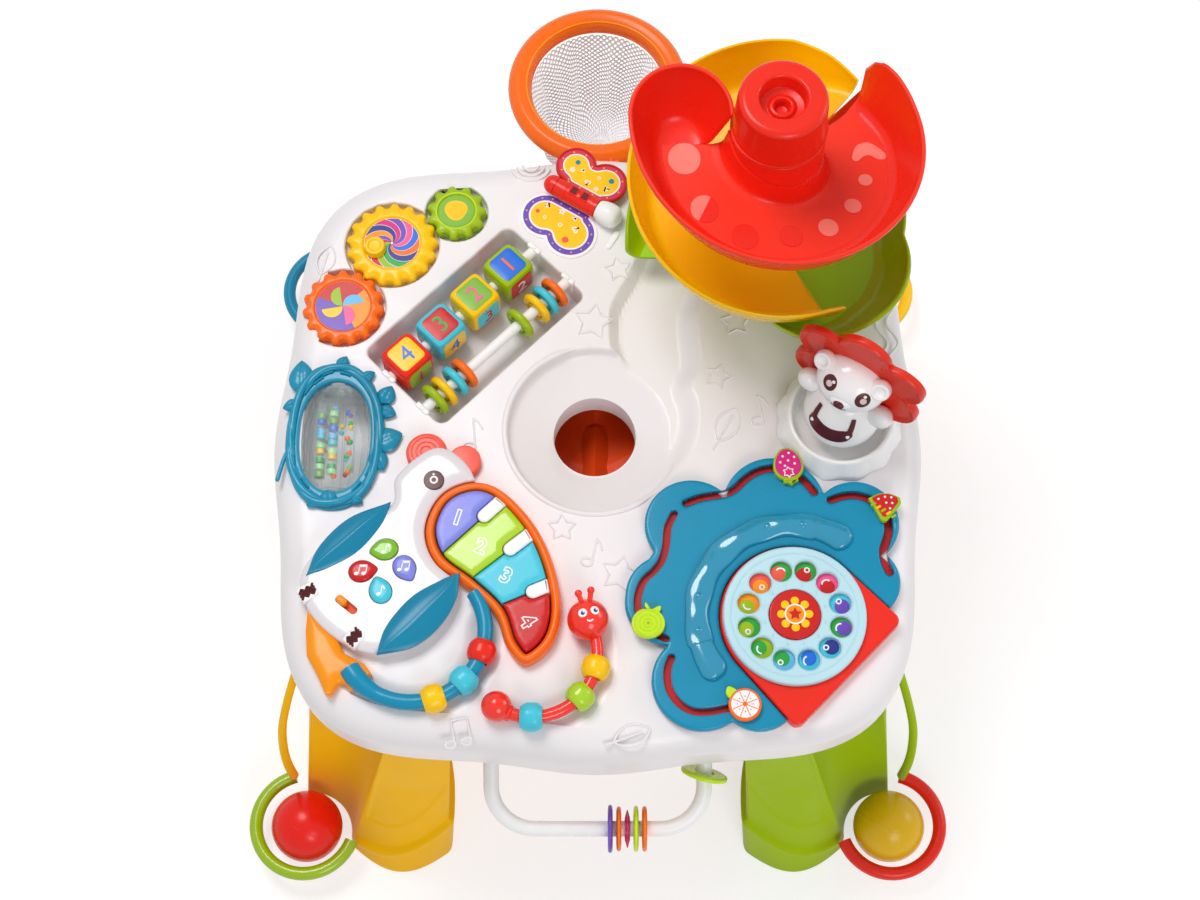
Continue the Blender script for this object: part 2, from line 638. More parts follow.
class TABLE_OT_finishes(bpy.types.Operator):
    """Makes every moulding, print, clear, metal and net finish from the colours."""
    bl_idname = "table.finishes"
    bl_label = "Finishes"

    def execute(self, context):
        c, s = context.scene.table_colours, context.scene.table_sizes
        size = s.grain
        moulded("tray", c.tray, 0.36, 0.16, 0.10, 0.02, size=size)
        for name in ("white", "green", "orange", "amber", "teal", "ocean", "cyan", "blue", "navy", "violet",
                     "purple", "magenta", "pink", "coral", "brown", "red", "crimson", "tower", "lime",
                     "ball_red", "ball_yellow", "grey", "board"):
            moulded(name, getattr(c, name), 0.26, size=size)
        moulded("dial_sky", c.sky, 0.34, size=size)
        moulded("ramp_red", np.minimum(np.array(c.red) + (0.02, 0.05, 0.03), 1), 0.42, 0.3, size=size * 2)
        moulded("ramp_amber", (1.0, 0.76, 0.0), 0.36, 0.25, size=size * 2)
        moulded("ramp_olive", (0.60, 0.83, 0.05), 0.4, 0.25, size=size * 2)
        moulded("dot_light", np.minimum(np.array(c.red) + (0.05, 0.38, 0.40), 1), 0.4, size=size)
        moulded("teal_gloss", np.array(c.teal) * 0.96 + (0, 0.03, 0.03), 0.12, 0.05, 0.8, size=size)
        moulded("lime_bright", np.minimum(np.array(c.lime) + (0.16, 0.17, 0.12), 1), 0.22, size=size)
        moulded("sky_print", (0.40, 0.76, 0.95), 0.3, size=size)
        moulded("leaf_green", (0.50, 0.72, 0.22), 0.3, size=size)
        moulded("pale_green", (0.70, 0.93, 0.62), 0.3, size=size)
        moulded("vine", np.array(c.teal) * (1, 1.0, 0.98), 0.30, 0.35, 0.2, 0.12, size=size * 3)
        moulded("green_key", (0.48, 0.74, 0.06), 0.2, 0.06, 0.4, size=size)
        moulded("lime_key", (0.68, 0.84, 0.10), 0.2, 0.06, 0.4, size=size)
        moulded("worm_red", np.minimum(np.array(c.red) + (0.04, 0.02, 0.02), 1), 0.18, 0.06, 0.4, size=size)
        moulded("slot_dark", (0.30, 0.29, 0.31), 0.6, size=size)
        moulded("slot_orange", np.array(c.orange) * (0.93, 0.7, 0.5), 0.4, size=size)
        moulded("bird_white", (0.895, 0.875, 0.89), 0.2, 0.05, 0.2, 0.02, size=size)
        moulded("bear_white", c.white, 0.2, 0.05, 0.35, 0.02, size=size)
        moulded("base_white", c.white, 0.4, 0.25, 0.05, 0.03, size=size)
        moulded("dot_pale", (0.86, 0.80, 0.80), 0.3, size=size)
        moulded("flower_red", np.array(c.red) * (0.93, 1.1, 0.6), 0.36, 0.2, 0.1, size=size * 2)
        moulded("wing_pink", (0.86, 0.20, 0.33), 0.3, size=size)
        moulded("maroon", (0.42, 0.03, 0.04), 0.3, size=size)
        moulded("leg_lime", np.array(c.lime) * (1.02, 1.0, 1), 0.42, size=size)
        moulded("leg", c.leg, 0.42, size=size)
        for name in ("leg", "leg_lime"):
            FINISHES[name].node_tree.nodes["Principled BSDF"].inputs["IOR"].default_value = 1.15
        moulded("lime_loop", np.array(c.lime) * (0.98, 1.0, 1), 0.2, 0.08, 0.3, size=size)
        moulded("hole_red", (1.0, 0.34, 0.10), 0.45, 0.3, 0.05, size=size * 2)
        see_through("clear_rib", (0.85, 0.93, 0.93), 0.12, 0.6)
        see_through("clear", (0.97, 0.99, 0.99))
        metal("steel", c.steel)
        netting("net", c.net)
        return {"FINISHED"}


class TABLE_OT_stage(bpy.types.Operator):
    """Pale floor, soft studio lights, white surroundings and the camera."""
    bl_idname = "table.stage"
    bl_label = "Stage"

    def execute(self, context):
        scene = context.scene
        scene.view_settings.view_transform = "Standard"
        s = context.scene.table_sizes

        # floor: a flat square whose grid is x, y at height 0; it glows white to the camera and keeps
        # the shadow
        g = np.linspace(-6, 6, 3)
        x, y = np.meshgrid(g, g)
        floor = bpy.data.meshes.new("floor")
        floor.from_pydata(np.stack([x, y, 0 * x - 0.0004], -1).reshape(-1, 3).tolist(), [],
                          [(k, k + 1, k + 4, k + 3) for k in (0, 1, 3, 4)])
        floor_obj = bpy.data.objects.new("floor", floor)
        scene.collection.objects.link(floor_obj)
        m = Nodes("studio floor")
        tone = linear(context.scene.table_colours.floor)
        shade = m.mixed(m.between(m.noise(1.5, 2.0), 0, 1), tone * 0.99, tone)
        matt = m.add("ShaderNodeBsdfDiffuse", {"Color": shade})
        glow = m.add("ShaderNodeEmission", {"Color": (1, 1, 1, 1), "Strength": 1.25})
        both = m.add("ShaderNodeMixShader", {0: 0.5, 1: matt.outputs[0], 2: glow.outputs[0]})
        show = m.add("ShaderNodeMixShader", {0: seen_rays(m.tree), 1: matt.outputs[0], 2: both.outputs[0]})
        m.tree.links.new(show.outputs[0], m.tree.nodes["Material Output"].inputs["Surface"])
        floor.materials.append(m.material)

        # surroundings: white to the camera, gloss and glass, a soft grey light to everything else
        world = bpy.data.worlds.new("studio")
        scene.world = world
        world.use_nodes = True
        tree = world.node_tree
        back = tree.nodes["Background"]
        strength = add_node(tree, "ShaderNodeMapRange", {"Value": seen_rays(tree), "To Min": 0.42,
                                                         "To Max": 1.0})
        plug(tree, back, {"Color": (1, 1, 1, 1), "Strength": strength.outputs["Result"]})

        for name, place, aim, size, power in (
                ("overhead", (-0.5, 0.5, 1.9), (0, 0, 0.2), 0.8, 1.0),
                ("front", (0.5, -1.5, 1.2), (0, 0, 0.15), 0.8, 0.5),
                ("side", (1.7, 0.4, 0.9), (0, 0, 0.15), 0.8, 0.3)):
            lamp = bpy.data.lights.new(name, "AREA")
            lamp.shape, lamp.size, lamp.energy = "DISK", size, s.key_light * power
            obj = bpy.data.objects.new(name, lamp)
            obj.location = place
            obj.rotation_euler = (Vector(aim) - Vector(place)).to_track_quat("-Z", "Y").to_euler()
            scene.collection.objects.link(obj)

        # camera: 1.3 m from the point it looks at, 68.5 degrees above the horizon, from the front
        lens = bpy.data.cameras.new("camera")
        lens.lens, lens.sensor_width = 60.36, 36
        camera = bpy.data.objects.new("camera", lens)
        up = math.radians(68.5)
        aim = Vector((0.0015, -0.0519, 0.240))
        camera.location = aim + 1.3 * Vector((0, -math.cos(up), math.sin(up)))
        camera.rotation_euler = (math.radians(90) - up, 0, 0)
        scene.collection.objects.link(camera)
        scene.camera = camera
        return {"FINISHED"}


# ---------------------------------------------------------------- tray

def tray_outline(n=240):
    """The tray's soft eight-lobed square: r(a) = TRAY_HALF x (1.0637 - 0.0896 cos 4a + 0.0259 cos 8a)."""
    a = np.arange(n) * 360 / n
    t = np.radians(a)
    return polar(TRAY_HALF * (1.0637 - 0.0896 * np.cos(4 * t) + 0.0259 * np.cos(8 * t)), a)


BOWL, HOLE = (-1.8, 5.6), (-2, 8.9)
CHANNEL_BEND = [(68 * math.cos(math.radians(a)) - 1, 63 * math.sin(math.radians(a)) + 15)
                for a in np.linspace(20, -95, 24)]
CHANNEL_RIGHT = [(84, 150), (72, 100), (67.1, 83.6), (69.1, 52)] + CHANNEL_BEND
CHANNEL_LEFT = [(33, 150), (20, 118), (8.1, 93.9), (7.4, 67.6), (11, 50), (-10, 20), (-12, -40)]
BLOCK_POCKET = turned(rounded_box(132, 74, 6) + (0, 114.5), 45)
WINDOW = rounded_box(48, 76, 4, (-170, 0))
GEARS = {"gear_orange": ((-169.15, 92.80), 25.75, 15, 68.7),
         "gear_yellow": ((-138.4, 139.6), 29.25, 17, 236.7),
         "gear_green": ((-95.67, 163.58), 18.75, 11, 29.3 - 180 - 180 / 11 + (29.3 - 236.7) * 17 / 11)}
LIP = [(-1.7, 0), (-1.3, 0.08), (-0.8, 0.35), (-0.3, 1.0), (0, 1.9)]
ARC_LINE = arc(45, -142, 8, (-114.7, -132.7), 61)
WORM_LINE = arc(40, -121, 31.3, (-40.1, -147.1), 61)


def channel_outline():
    """The ball channel's right and left edge and its outline."""
    right = spline(CHANNEL_RIGHT, 3, closed=False)
    left = spline(CHANNEL_LEFT, 4, closed=False)
    return right, left, np.vstack([right, left[::-1]])[::-1]


def tray_height(xy):
    """Height of the tray's top: its flat level less the deepest of its hollows. Each hollow's depth is a
    curve of the distance inside its edge: bowl, ball channel, block pocket, gear wells, drum window and
    the two bead troughs."""
    depth = np.zeros(len(xy))

    def sink(more):
        np.maximum(depth, more, out=depth)

    r = np.linalg.norm(xy - BOWL, axis=1)
    sink(np.interp(r, [26, 27, 27.7, 28.5, 50, 54.6, 55.8, 56.8, 57.6, 58.4, 59],
                   [24, 22.9, 21.8, 21.2, 9.1, 6.4, 4.6, 2.3, 0.8, 0.15, 0]))
    right, left, loop = channel_outline()
    within = inside(xy, loop)
    to_right = gap_to(xy, right, closed=False)
    to_left = gap_to(xy, left, closed=False)

    def slope(d, width):
        t = np.clip(d / width, 0, 1)
        return t * t * (3 - 2 * t)
    sink(np.where(within, 10 * np.minimum(slope(to_right, 15), slope(to_left, 8)), 0))
    sink(np.interp(depth_in(xy, BLOCK_POCKET), [d for d, _ in LIP] + [0.3, 0.6, 1.6, 3.2],
                   [z for _, z in LIP] + [19.5, 20.8, 21.7, 22]))
    for centre, mean, _, _ in GEARS.values():
        edge = mean + 2.6 - np.linalg.norm(xy - centre, axis=1)
        sink(np.interp(edge, [-1.2, -0.7, 0, 0.25, 1.2], [0, 0.15, 1.0, 6.2, 7]))
    sink(np.interp(depth_in(xy, WINDOW), [-1.2, -0.6, 0, 0.4], [0, 0.25, 1.2, 38]))
    for line in (ARC_LINE, WORM_LINE):
        d = gap_to(xy, line, closed=False)
        t = np.clip(d / 12.5, 0, 1)
        sink(3.5 * (0.5 + 0.5 * np.cos(math.pi * t)))
    return H - depth


def ridge(piece, path, width=1.5, height=0.9, closed=False, finish="tray", base=H):
    """A raised line motif: a low half-round strand along a path on the tray."""
    line = np.asarray(path, float)
    half = np.array([(math.cos(t) * width / 2, math.sin(t) * height) for t in np.linspace(0, math.pi, 7)]
                    + [(-width / 2, -0.5), (width / 2, -0.5)])
    piece.rings(sweep(level(line, base), half * (-1, 1), closed=closed), finish, loop=closed)


def star(r, centre, angle=90, points=5, inner=0.5):
    """A star outline: alternate radii r and inner x r."""
    rr = np.tile([r, inner * r], points)
    return polar(rr, angle + np.arange(2 * points) * 180 / points) + centre


def leaf_motif(piece, centre, angle, size):
    """Two curved sides that meet in a point, with a vein between."""
    t = np.linspace(0, 1, 15)
    for side in (1, -1):
        line = np.stack([size * (t - 0.5), side * size * 0.28 * np.sin(math.pi * t) ** 0.8], -1)
        ridge(piece, turned(line, angle) + centre)
    ridge(piece, turned([(-0.75 * size, 0), (-0.5 * size, 0), (0.3 * size, 0)], angle) + centre)


def note_motif(piece, centre, angle, size, double=False):
    """A quaver: an oval head, a stem and a flag, or two heads under one beam."""
    head = circle(1, n=16) * (0.2 * size, 0.14 * size)
    for k in ((-0.32, 0.32) if double else (0,)):
        ridge(piece, turned(head + (k * size - 0.18 * size, -0.45 * size), angle) + centre, closed=True)
        ridge(piece, turned([(k * size, -0.45 * size), (k * size, 0), (k * size, 0.45 * size)],
                            angle) + centre)
    top = [(-0.32, 0.45), (0, 0.48), (0.32, 0.45)] if double else [(0, 0.45), (0.16, 0.3), (0.26, 0.08)]
    ridge(piece, turned(np.array(top) * size, angle) + centre)


class TABLE_OT_tray(bpy.types.Operator):
    """White tray with its bowl, ball channel, pockets, troughs, raised line motifs and underside."""
    bl_idname = "table.tray"
    bl_label = "Tray"

    def execute(self, context):
        tray = Piece()
        outline = tray_outline()
        # rim: a quarter circle from the side wall to the flat top
        wall = stacked(outline, [(0, SKIRT), (0, 199)] + rounded(199, H, RIM, n=12)[1:])
        top_edge = inset(outline, RIM)
        # and down again where the rim cuts a gear's well
        wall = np.concatenate([wall, [level(top_edge, tray_height(top_edge) - 0.01)]])
        tray.rings(wall, "tray", caps=False)
        tray.rings(stacked(outline, [(0.0, SKIRT), (0.5, SKIRT - 1), (1.6, 196.2), (2.5, 196.2),
                                     (2.5, 199.5)])[::-1], "tray", caps=False)

        channel = channel_outline()[2]
        bowl_rings = [circle(r, BOWL, 120) for r in (59, 58.4, 57.6, 56.8, 55.8, 54.6, 48.4)]
        hole = circle(27, HOLE, 96)
        lines = list(bowl_rings) + [circle(r, HOLE, 96) for r in (27.6, 28.4)]
        lines += [inset(channel, -0.6), channel]
        lines += [inset(BLOCK_POCKET, d) for d in (-1.7, -1.3, -0.8, -0.3, 0, 0.3, 0.6, 1.6, 3.2)]
        lines += [inset(WINDOW, d) for d in (-1.2, -0.6, 0, 0.4)]
        for centre, mean, _, _ in GEARS.values():
            lines += [circle(mean + 2.6 - d, centre, 72) for d in (-1.2, -0.7, 0, 0.25, 1.2)]
        grid = np.stack(np.meshgrid(np.arange(-20, 92, 2.0), np.arange(-58, 150, 2.0)), -1).reshape(-1, 2)
        grid = grid[inside(grid, channel) & (np.linalg.norm(grid - BOWL, axis=1) > 49.5)]
        spots = [grid] + [circle(r, BOWL, 96, start=r) for r in (32, 36, 40, 44, 52)]
        for line in (ARC_LINE, WORM_LINE):
            side = strip(line, 2.0)[:len(line)] - line
            spots += [line + side * k for k in np.arange(-13.5, 13.6, 1.5)]
            for end, near in ((line[0], line[2]), (line[-1], line[-3])):
                aim = math.degrees(math.atan2(*(end - near)[::-1]))
                spots += [arc(q, aim - 85, aim + 85, end, 12) for q in np.arange(1.5, 13.6, 1.5)]
        spots = np.vstack(spots)
        spots = spots[(np.linalg.norm(spots - HOLE, axis=1) > 29) & inside(spots, inset(top_edge, 0.5))]
        tray.mesh(*field(top_edge, [hole], lines, spots, tray_height), "tray")
        # sleeve of the drop hole, down to the base
        edge = level(hole, tray_height(hole))
        sleeve = np.array([edge, edge - [0, 0, 1.0], level(hole, np.full(len(hole), 199.5))])
        tray.rings(sleeve, "tray", caps=False)
        tray.mesh(*flat_field(inset(outline, 2.5), [hole], 199.5), "tray")
        # rounded bead round the bowl, from the channel's left edge to its right wall
        bead = arc(58.6, 95, 318, BOWL, 90)
        height = tray_height(bead)
        size = np.clip(np.minimum(np.arange(90), 89 - np.arange(90)) / 8, 0.05, 1)
        tray.rings(sweep(level(bead, np.maximum(height, H - 1.5) - 0.8), circle(2.1, n=14) * (1, 1.15),
                         size=size), "tray")
        # raised line motifs
        for centre, r, angle in (((-3.1, 82.2), 13, 80), ((13.5, 121), 9, 100), ((91.6, 82.2), 10, 95),
                                 ((78.8, 42.4), 9, 70), ((-22.7, -62.4), 9, 90), ((14, -93), 12, 75)):
            ridge(tray, star(r, centre, angle, inner=0.55), closed=True)
        for centre, angle, size_mm in (((84, 8), 60, 26), ((21.1, -197), 20, 24), ((-182.5, 128), 75, 22)):
            leaf_motif(tray, centre, angle, size_mm)
        for centre, angle, size_mm, double in (((106, 20), 10, 20, False), ((-80, 3), 5, 22, False),
                                               ((-2, -78), -12, 18, False), ((-83.6, -194), 12, 16, True)):
            note_motif(tray, centre, angle, size_mm, double)
        for r in (6, 10, 14):
            ridge(tray, arc(r, 200, 340, (-45.7, 202), 12))
        ribbon = spline([(190, 92), (184, 80), (191, 66), (183, 52), (190, 38), (182, 24)], 8, closed=False)
        ridge(tray, ribbon)
        ridge(tray, ribbon + (7, 1))
        tray.make("tray", replaces="tray_shell", slot="tray_white", sharp=32)
        return {"FINISHED"}


# ---------------------------------------------------------------- ball tower

TOWER = np.array((107.5, 129.0))


def helix_z(a, rise):
    """The ramp floor: H + 6 + 62 (940 - a) / 360 + rise, so it falls 62 in each turn."""
    return H + 6 + 62 * (940 - a) / 360 + rise


def ramp_side(h):
    """Half of a ramp's section, from its middle outwards: a flat floor, a short curve up into a wall that
    leans out by 0.4 of its height, a rounded lip, and the outside back down. h is the lip's height."""
    k = min(h, 10) / 10
    h = max(h, 10)
    foot = 86.8 - 0.4 * (h - 8.4)
    floor = [(58.5, 0), (64, 0), (foot - 7, 0.1), (foot - 4, 0.8), (foot - 1.6, 2.6), (foot, 5.2)]
    wall = [(foot + (86.8 - foot) * t, 5.2 + (h - 8.4) * t) for t in (0.25, 0.5, 0.75, 1)]
    lip = [(87.0, h - 1.2), (87.5, h - 0.3), (88.3, h), (89.0, h - 0.3), (89.5, h - 1.2), (89.4, h - 2.8)]
    back = [(foot + 2.6 + (86.6 - foot) * t, 4.0 + (h - 7.6) * t) for t in (0.8, 0.4, 0)]
    under = [(foot + 0.6, 0.6), (foot - 2.4, -1.5), (foot - 7, -2.4), (58.5, -2.5)]
    return np.array([(r, z * k if z > 0 else z) for r, z in floor + wall + lip + back + under])


def ramp_section(h):
    """The whole section: the outer half with the flare at the post in front of it."""
    a = np.linspace(0, math.pi / 2, 6)
    flare = [(30.0, 16), (30.4, 12)] + [(40 - 8.6 * math.cos(t), 8 * (1 - math.sin(t))) for t in a]
    return np.vstack([[(28, -2.5), (28, 16)], flare, [(48, 0)], ramp_side(h)])


def ramp(piece, rise, a0, a1, heights, wall, floor, end_bow=(0, 0), flat_to=0, rim=lambda a: 89.5 + 0 * a):
    """A spiral ramp: the section stands on the radius at each angle and follows the helix. heights are
    (angle, lip height) pairs; end_bow moves the last edge on by a share at the post and at the lip. The floor
    is level up to flat_to, and rim gives the lip's radius at an angle, which stretches the outer half."""
    angle = np.unique(np.concatenate([np.arange(a0, a1, 3.0), [a1], np.linspace(a1 - 12, a1, 9)]))
    h = np.interp(angle, *np.transpose(heights))
    sections = np.array([ramp_section(k) for k in h])
    r, dz = sections[..., 0], sections[..., 1]
    share = np.clip((angle - (a1 - 14)) / 14, 0, 1)[:, None] ** 2
    inner, outer = end_bow
    bow = np.where(r < 60, inner * ((60 - r) / 31) ** 2, outer * ((r - 60) / 29) ** 2)
    r = np.where(r > 58.5, 58.5 + (r - 58.5) * ((rim(angle) - 58.5) / 31)[:, None], r)
    a = np.radians(angle[:, None] + share * bow)
    z = helix_z(np.maximum(np.degrees(a), flat_to), rise) + dz
    rings = np.stack([TOWER[0] + r * np.cos(a), TOWER[1] + r * np.sin(a), z], -1)
    piece.rings(rings, wall)
    top = rings[:, 7:14] + [0, 0, 0.12]
    piece.rings(np.concatenate([top, top[:, ::-1] - [0, 0, 0.6]], 1), floor)
    return rings[:, np.argmax(dz[0])]


def ramp_curl(piece, rise, a0, h, finish):
    """The rounded start: the outer half of the section turned half round about the ramp's middle."""
    mid = TOWER + polar(58.5, a0)
    side = ramp_side(h)
    rho, dz = side[:, 0] - 58.5, side[:, 1]
    phi = np.linspace(0, 180, 37)
    turn = a0 - phi
    x = mid[0] + rho[None] * np.cos(np.radians(turn))[:, None]
    y = mid[1] + rho[None] * np.sin(np.radians(turn))[:, None]
    ahead = a0 - np.degrees(rho[None] * np.sin(np.radians(phi))[:, None] / 58.5)
    z = helix_z(ahead, rise) + dz[None]
    rings = np.stack([x, y, z], -1)
    piece.rings(rings, finish)
    return rings[:, np.argmax(dz)]


def on_ramp(rise, lift=0.25):
    """Puts flat patches on the ramp floor: each point rises by the helix at its own angle."""
    def pose(points):
        a = np.degrees(np.arctan2(points[..., 1] - TOWER[1], points[..., 0] - TOWER[0])) % 360
        a = np.where(a < 60, a + 360, a)
        return points + np.stack([0 * a, 0 * a, helix_z(a, rise) + lift], -1)
    return pose


class TABLE_OT_tower(bpy.types.Operator):
    """Three spiral ramps on their posts, with the knob cap on top."""
    bl_idname = "table.tower"
    bl_label = "Ball tower"

    def execute(self, context):
        c = (*TOWER, 0)
        red = Piece()
        heights = [(181, 36), (260, 33), (340, 31), (375, 33), (392, 37), (397, 36), (400, 30), (402, 17)]
        lip = ramp(red, 16, 181, 402, heights, "red", "ramp_red", (9, 6))
        curl = ramp_curl(red, 16, 181, 36, "red")
        rim = np.vstack([curl[:0:-1], lip[:-4]])
        red.rings(tube(evenly(rim, 4, closed=False) - (0, 0, 0.9), 1.35, n=10), "ramp_red")
        red.rings(lathe(round_profile([(0, H + 110), (29, H + 110), (29, H + 171.6, 1), (0, H + 171.6)]),
                        c), "red")
        cap = [(0, H + 172), (27.6, H + 172, 0.8), (28.4, H + 174, 0.8), (28.2, H + 177, 1),
               (27.8, H + 178, 0.6),
               (26.7, H + 199), (26.2, H + 203, 2), (23.5, H + 205, 2), (15.0, H + 205, 1.0),
               (13.9, H + 203.5, 0.8),
               (13.4, H + 194, 1.0), (8.5, H + 193, 0.8), (7.4, H + 195, 0.7), (5.4, H + 195.4, 0.7),
               (4.2, H + 193.4, 0.6), (3.4, H + 189.5, 0.6), (0, H + 189)]
        red.rings(lathe(round_profile(cap), c, 96), "red")
        red.rings(tube(level(circle(28.5, TOWER, 96), H + 173.4), 0.55, n=8, closed=True), "ramp_red",
                  loop=True)
        pose = on_ramp(16)
        for x, y, r, finish in ((52, 119, 9.8, "dot_light"), (88, 72, 8.2, "red"), (116, 75, 7.2, "red"),
                                (139, 83, 6.2, "dot_light"), (155, 100, 5.3, "dot_light"),
                                (164, 120, 4.4, "dot_light")):
            red.printed(circle(r, (x, y), 40), 0, finish, pose=pose)
        red.printed(arc(8.6, 65, 245, (64, 88), 28), 0, "dot_light", pose=pose)
        red.printed(arc(8.6, 245, 425, (64, 88), 28), 0, "red", pose=pose)
        bean = spline([(157, 137), (160, 134.5), (164, 138), (168, 139), (173, 136), (177.5, 136.5),
                       (177, 141), (171, 147), (166, 149), (160, 146)], 5)
        red.printed(onward(bean), 0, "dot_light", pose=pose)
        red.make("tower_top_ramp", replaces="tower_red", slot="red")

        yellow = Piece()
        heights = [(410, 9), (424, 22), (440, 30), (520, 32), (600, 32), (640, 30), (650, 28), (656, 20),
                   (661, 9)]
        lip = ramp(yellow, 8, 410, 654, heights, "tower", "ramp_amber", (-2, 7))
        skirt = evenly(lip[:-2], 5, closed=False)
        out = (skirt[:, :2] - TOWER) / np.linalg.norm(skirt[:, :2] - TOWER, axis=1, keepdims=True)
        yellow.rings(tube(skirt + np.concatenate([out * 1.3, np.full((len(out), 1), -4.0)], 1), 1.3, n=10),
                     "tower")
        yellow.rings(lathe(round_profile([(0, H + 48), (28.8, H + 48), (28.8, H + 108.6, 1),
                                          (0, H + 108.6)]), c), "tower")
        yellow.make("tower_middle_ramp", replaces="tower_yellow", slot="yellow")

        green = Piece()

        def dish(a):
            """The lip's radius: a circle of 52 about the catching dish's middle, then the ramp's own 89.5."""
            u = np.stack([np.cos(np.radians(a)), np.sin(np.radians(a))], -1) @ (38, -38)
            circle_far = u + np.sqrt(np.maximum(52**2 - 2 * 38**2 + u * u, 0))
            return np.where(a < 720, np.maximum(circle_far, np.where(a > 690, 89.5, 0)), 89.5)

        heights = [(626, 5.5), (644, 7), (652, 14), (668, 24), (690, 28), (868, 28), (888, 25), (898, 18),
                   (905, 8)]
        lip = ramp(green, 0, 626, 905, heights, "lime", "ramp_olive", (0, -3), 652, dish)
        green.rings(tube(evenly(lip[:-2], 5, closed=False) - (0, 0, 0.8), 1.3, n=10), "lime")
        green.rings(lathe(round_profile([(0, H + 0.4), (33, H + 0.4, 1), (32, H + 3, 2), (28.6, H + 6, 2),
                                         (28.6, H + 60.3, 1), (0, H + 60.3)]), c), "lime")
        green.make("tower_low_ramp", replaces="tower_green", slot="lime")
        return {"FINISHED"}


# ---------------------------------------------------------------- hoop and net

HOOP, HOOP_Z = (0, 276.5), 217  # the hoop's middle in plan and its height


def net_surface(n=288):
    """The net as a tube of cloth: radius and depth follow a profile, and the cloth gathers in waves,
    r (1 - 1.4 w + w cos 7a + 0.4 w cos (16a + 1) + 0.5 w sin 4a), whose share w first grows with the
    depth and then fades to the closed end; the top edge is scalloped by 1.1 |sin 18a|, and the rings
    below it swing up and down by 60 w sin (3a + 0.8)."""
    depth = np.array([-6.5, -9, -14, -24, -36, -48, -60, -70, -77, -82, -86, -88.5, -90, -91])
    r = np.array([47.6, 47.3, 46.9, 46.0, 44.6, 43.2, 42.0, 40.6, 38.4, 35.0, 29.0, 21.0, 11.0, 0.4])
    w = np.interp(depth, [-91, -85, -60, -20, -8], [0.0, 0.05, 0.075, 0.045, 0.0])[:, None]
    a = np.arange(n) * 2 * math.pi / n
    wave = (1 - 1.4 * w + w * np.cos(7 * a)[None] + 0.4 * w * np.cos(16 * a + 1)[None]
            + 0.5 * w * np.sin(4 * a)[None])
    rr = r[:, None] * wave - 0.4
    z = HOOP_Z + np.repeat(depth[:, None], n, 1)
    z[0] += 1.1 * np.abs(np.sin(18 * a))
    z[1:12] += (w[1:12] * 60) * np.sin(3 * a + 0.8)[None]
    return np.stack([rr * np.cos(a)[None], HOOP[1] + rr * np.sin(a)[None], z], -1)


class TABLE_OT_hoop(bpy.types.Operator):
    """Orange throwing hoop on its bracket with the knitted net in it."""
    bl_idname = "table.hoop"
    bl_label = "Hoop and net"

    def execute(self, context):
        hoop = Piece()
        a = np.linspace(0, 2 * math.pi, 28, endpoint=False)
        swell = 0.6 * np.exp(-((np.cos(a) - 0.2) / 0.25) ** 2) * (np.sin(a) > 0)
        section = np.stack([8 * np.cos(a), 7.4 * np.sin(a) + swell], -1)
        ring = level(circle(55.5, HOOP, 120), HOOP_Z)
        hoop.rings(sweep(ring, section, closed=True), "orange", loop=True)
        hoop.rings(tube(level(circle(50.4, HOOP, 120), HOOP_Z + 5.6), 0.7, n=8, closed=True), "amber",
                   loop=True)
        hoop.rings(tube(level(circle(48.3, HOOP, 120), HOOP_Z - 3), 1.3, n=8, closed=True), "orange",
                   loop=True)
        tab = rounded_box(30, 17, 3, (0, 213.3))
        hoop.slab(tab, 213.5, 220.5, "orange", 1.5, 1.5)
        for x in (-9, 0, 9):
            hoop.slab(rounded_box(2.2, 13, 1, (x, 214)), 219.5, 222.2, "orange", 0.8)
        hoop.make("hoop", replaces="hoop_ring", slot="orange")

        rings = net_surface()
        net = Piece()
        net.rings(rings, "net", caps=False)
        obj = net.make("net", replaces="hoop_net", slot="net", sharp=180)
        mesh = obj.data
        cells = mesh.uv_layers.new(name="cells")
        spots = np.zeros(len(mesh.vertices) * 3)
        mesh.vertices.foreach_get("co", spots)
        spots = spots.reshape(-1, 3) * 1000 + [0, MID_Y, 0]
        corner = np.zeros(len(mesh.loops), int)
        mesh.loops.foreach_get("vertex_index", corner)
        # one unit a cell: round the tube by angle, and down it by the length of cloth so far
        profile = np.stack([np.linalg.norm(rings[:, 0, :2] - HOOP, axis=1), rings[:, 0, 2]], -1)
        run = np.concatenate([[0], np.cumsum(np.linalg.norm(np.diff(profile, axis=0), axis=1))])
        at = spots[corner]
        turn = np.arctan2(at[:, 1] - HOOP[1], at[:, 0]) / (2 * math.pi)
        start = np.zeros(len(mesh.polygons), int)
        mesh.polygons.foreach_get("loop_start", start)
        size = np.zeros(len(mesh.polygons), int)
        mesh.polygons.foreach_get("loop_total", size)
        owner = np.repeat(np.arange(len(start)), size)
        first = turn[start][owner]
        turn = turn - np.round(turn - first)
        cell = context.scene.table_sizes.net_cell * 1000
        round_cells = round(2 * math.pi * 46 / cell)
        down = np.interp(-at[:, 2], -rings[:, 0, 2], run)
        uv = np.stack([turn * round_cells, down / cell], -1)
        cells.data.foreach_set("uv", uv.ravel())
        return {"FINISHED"}


# ---------------------------------------------------------------- phone panel, dial and fruits

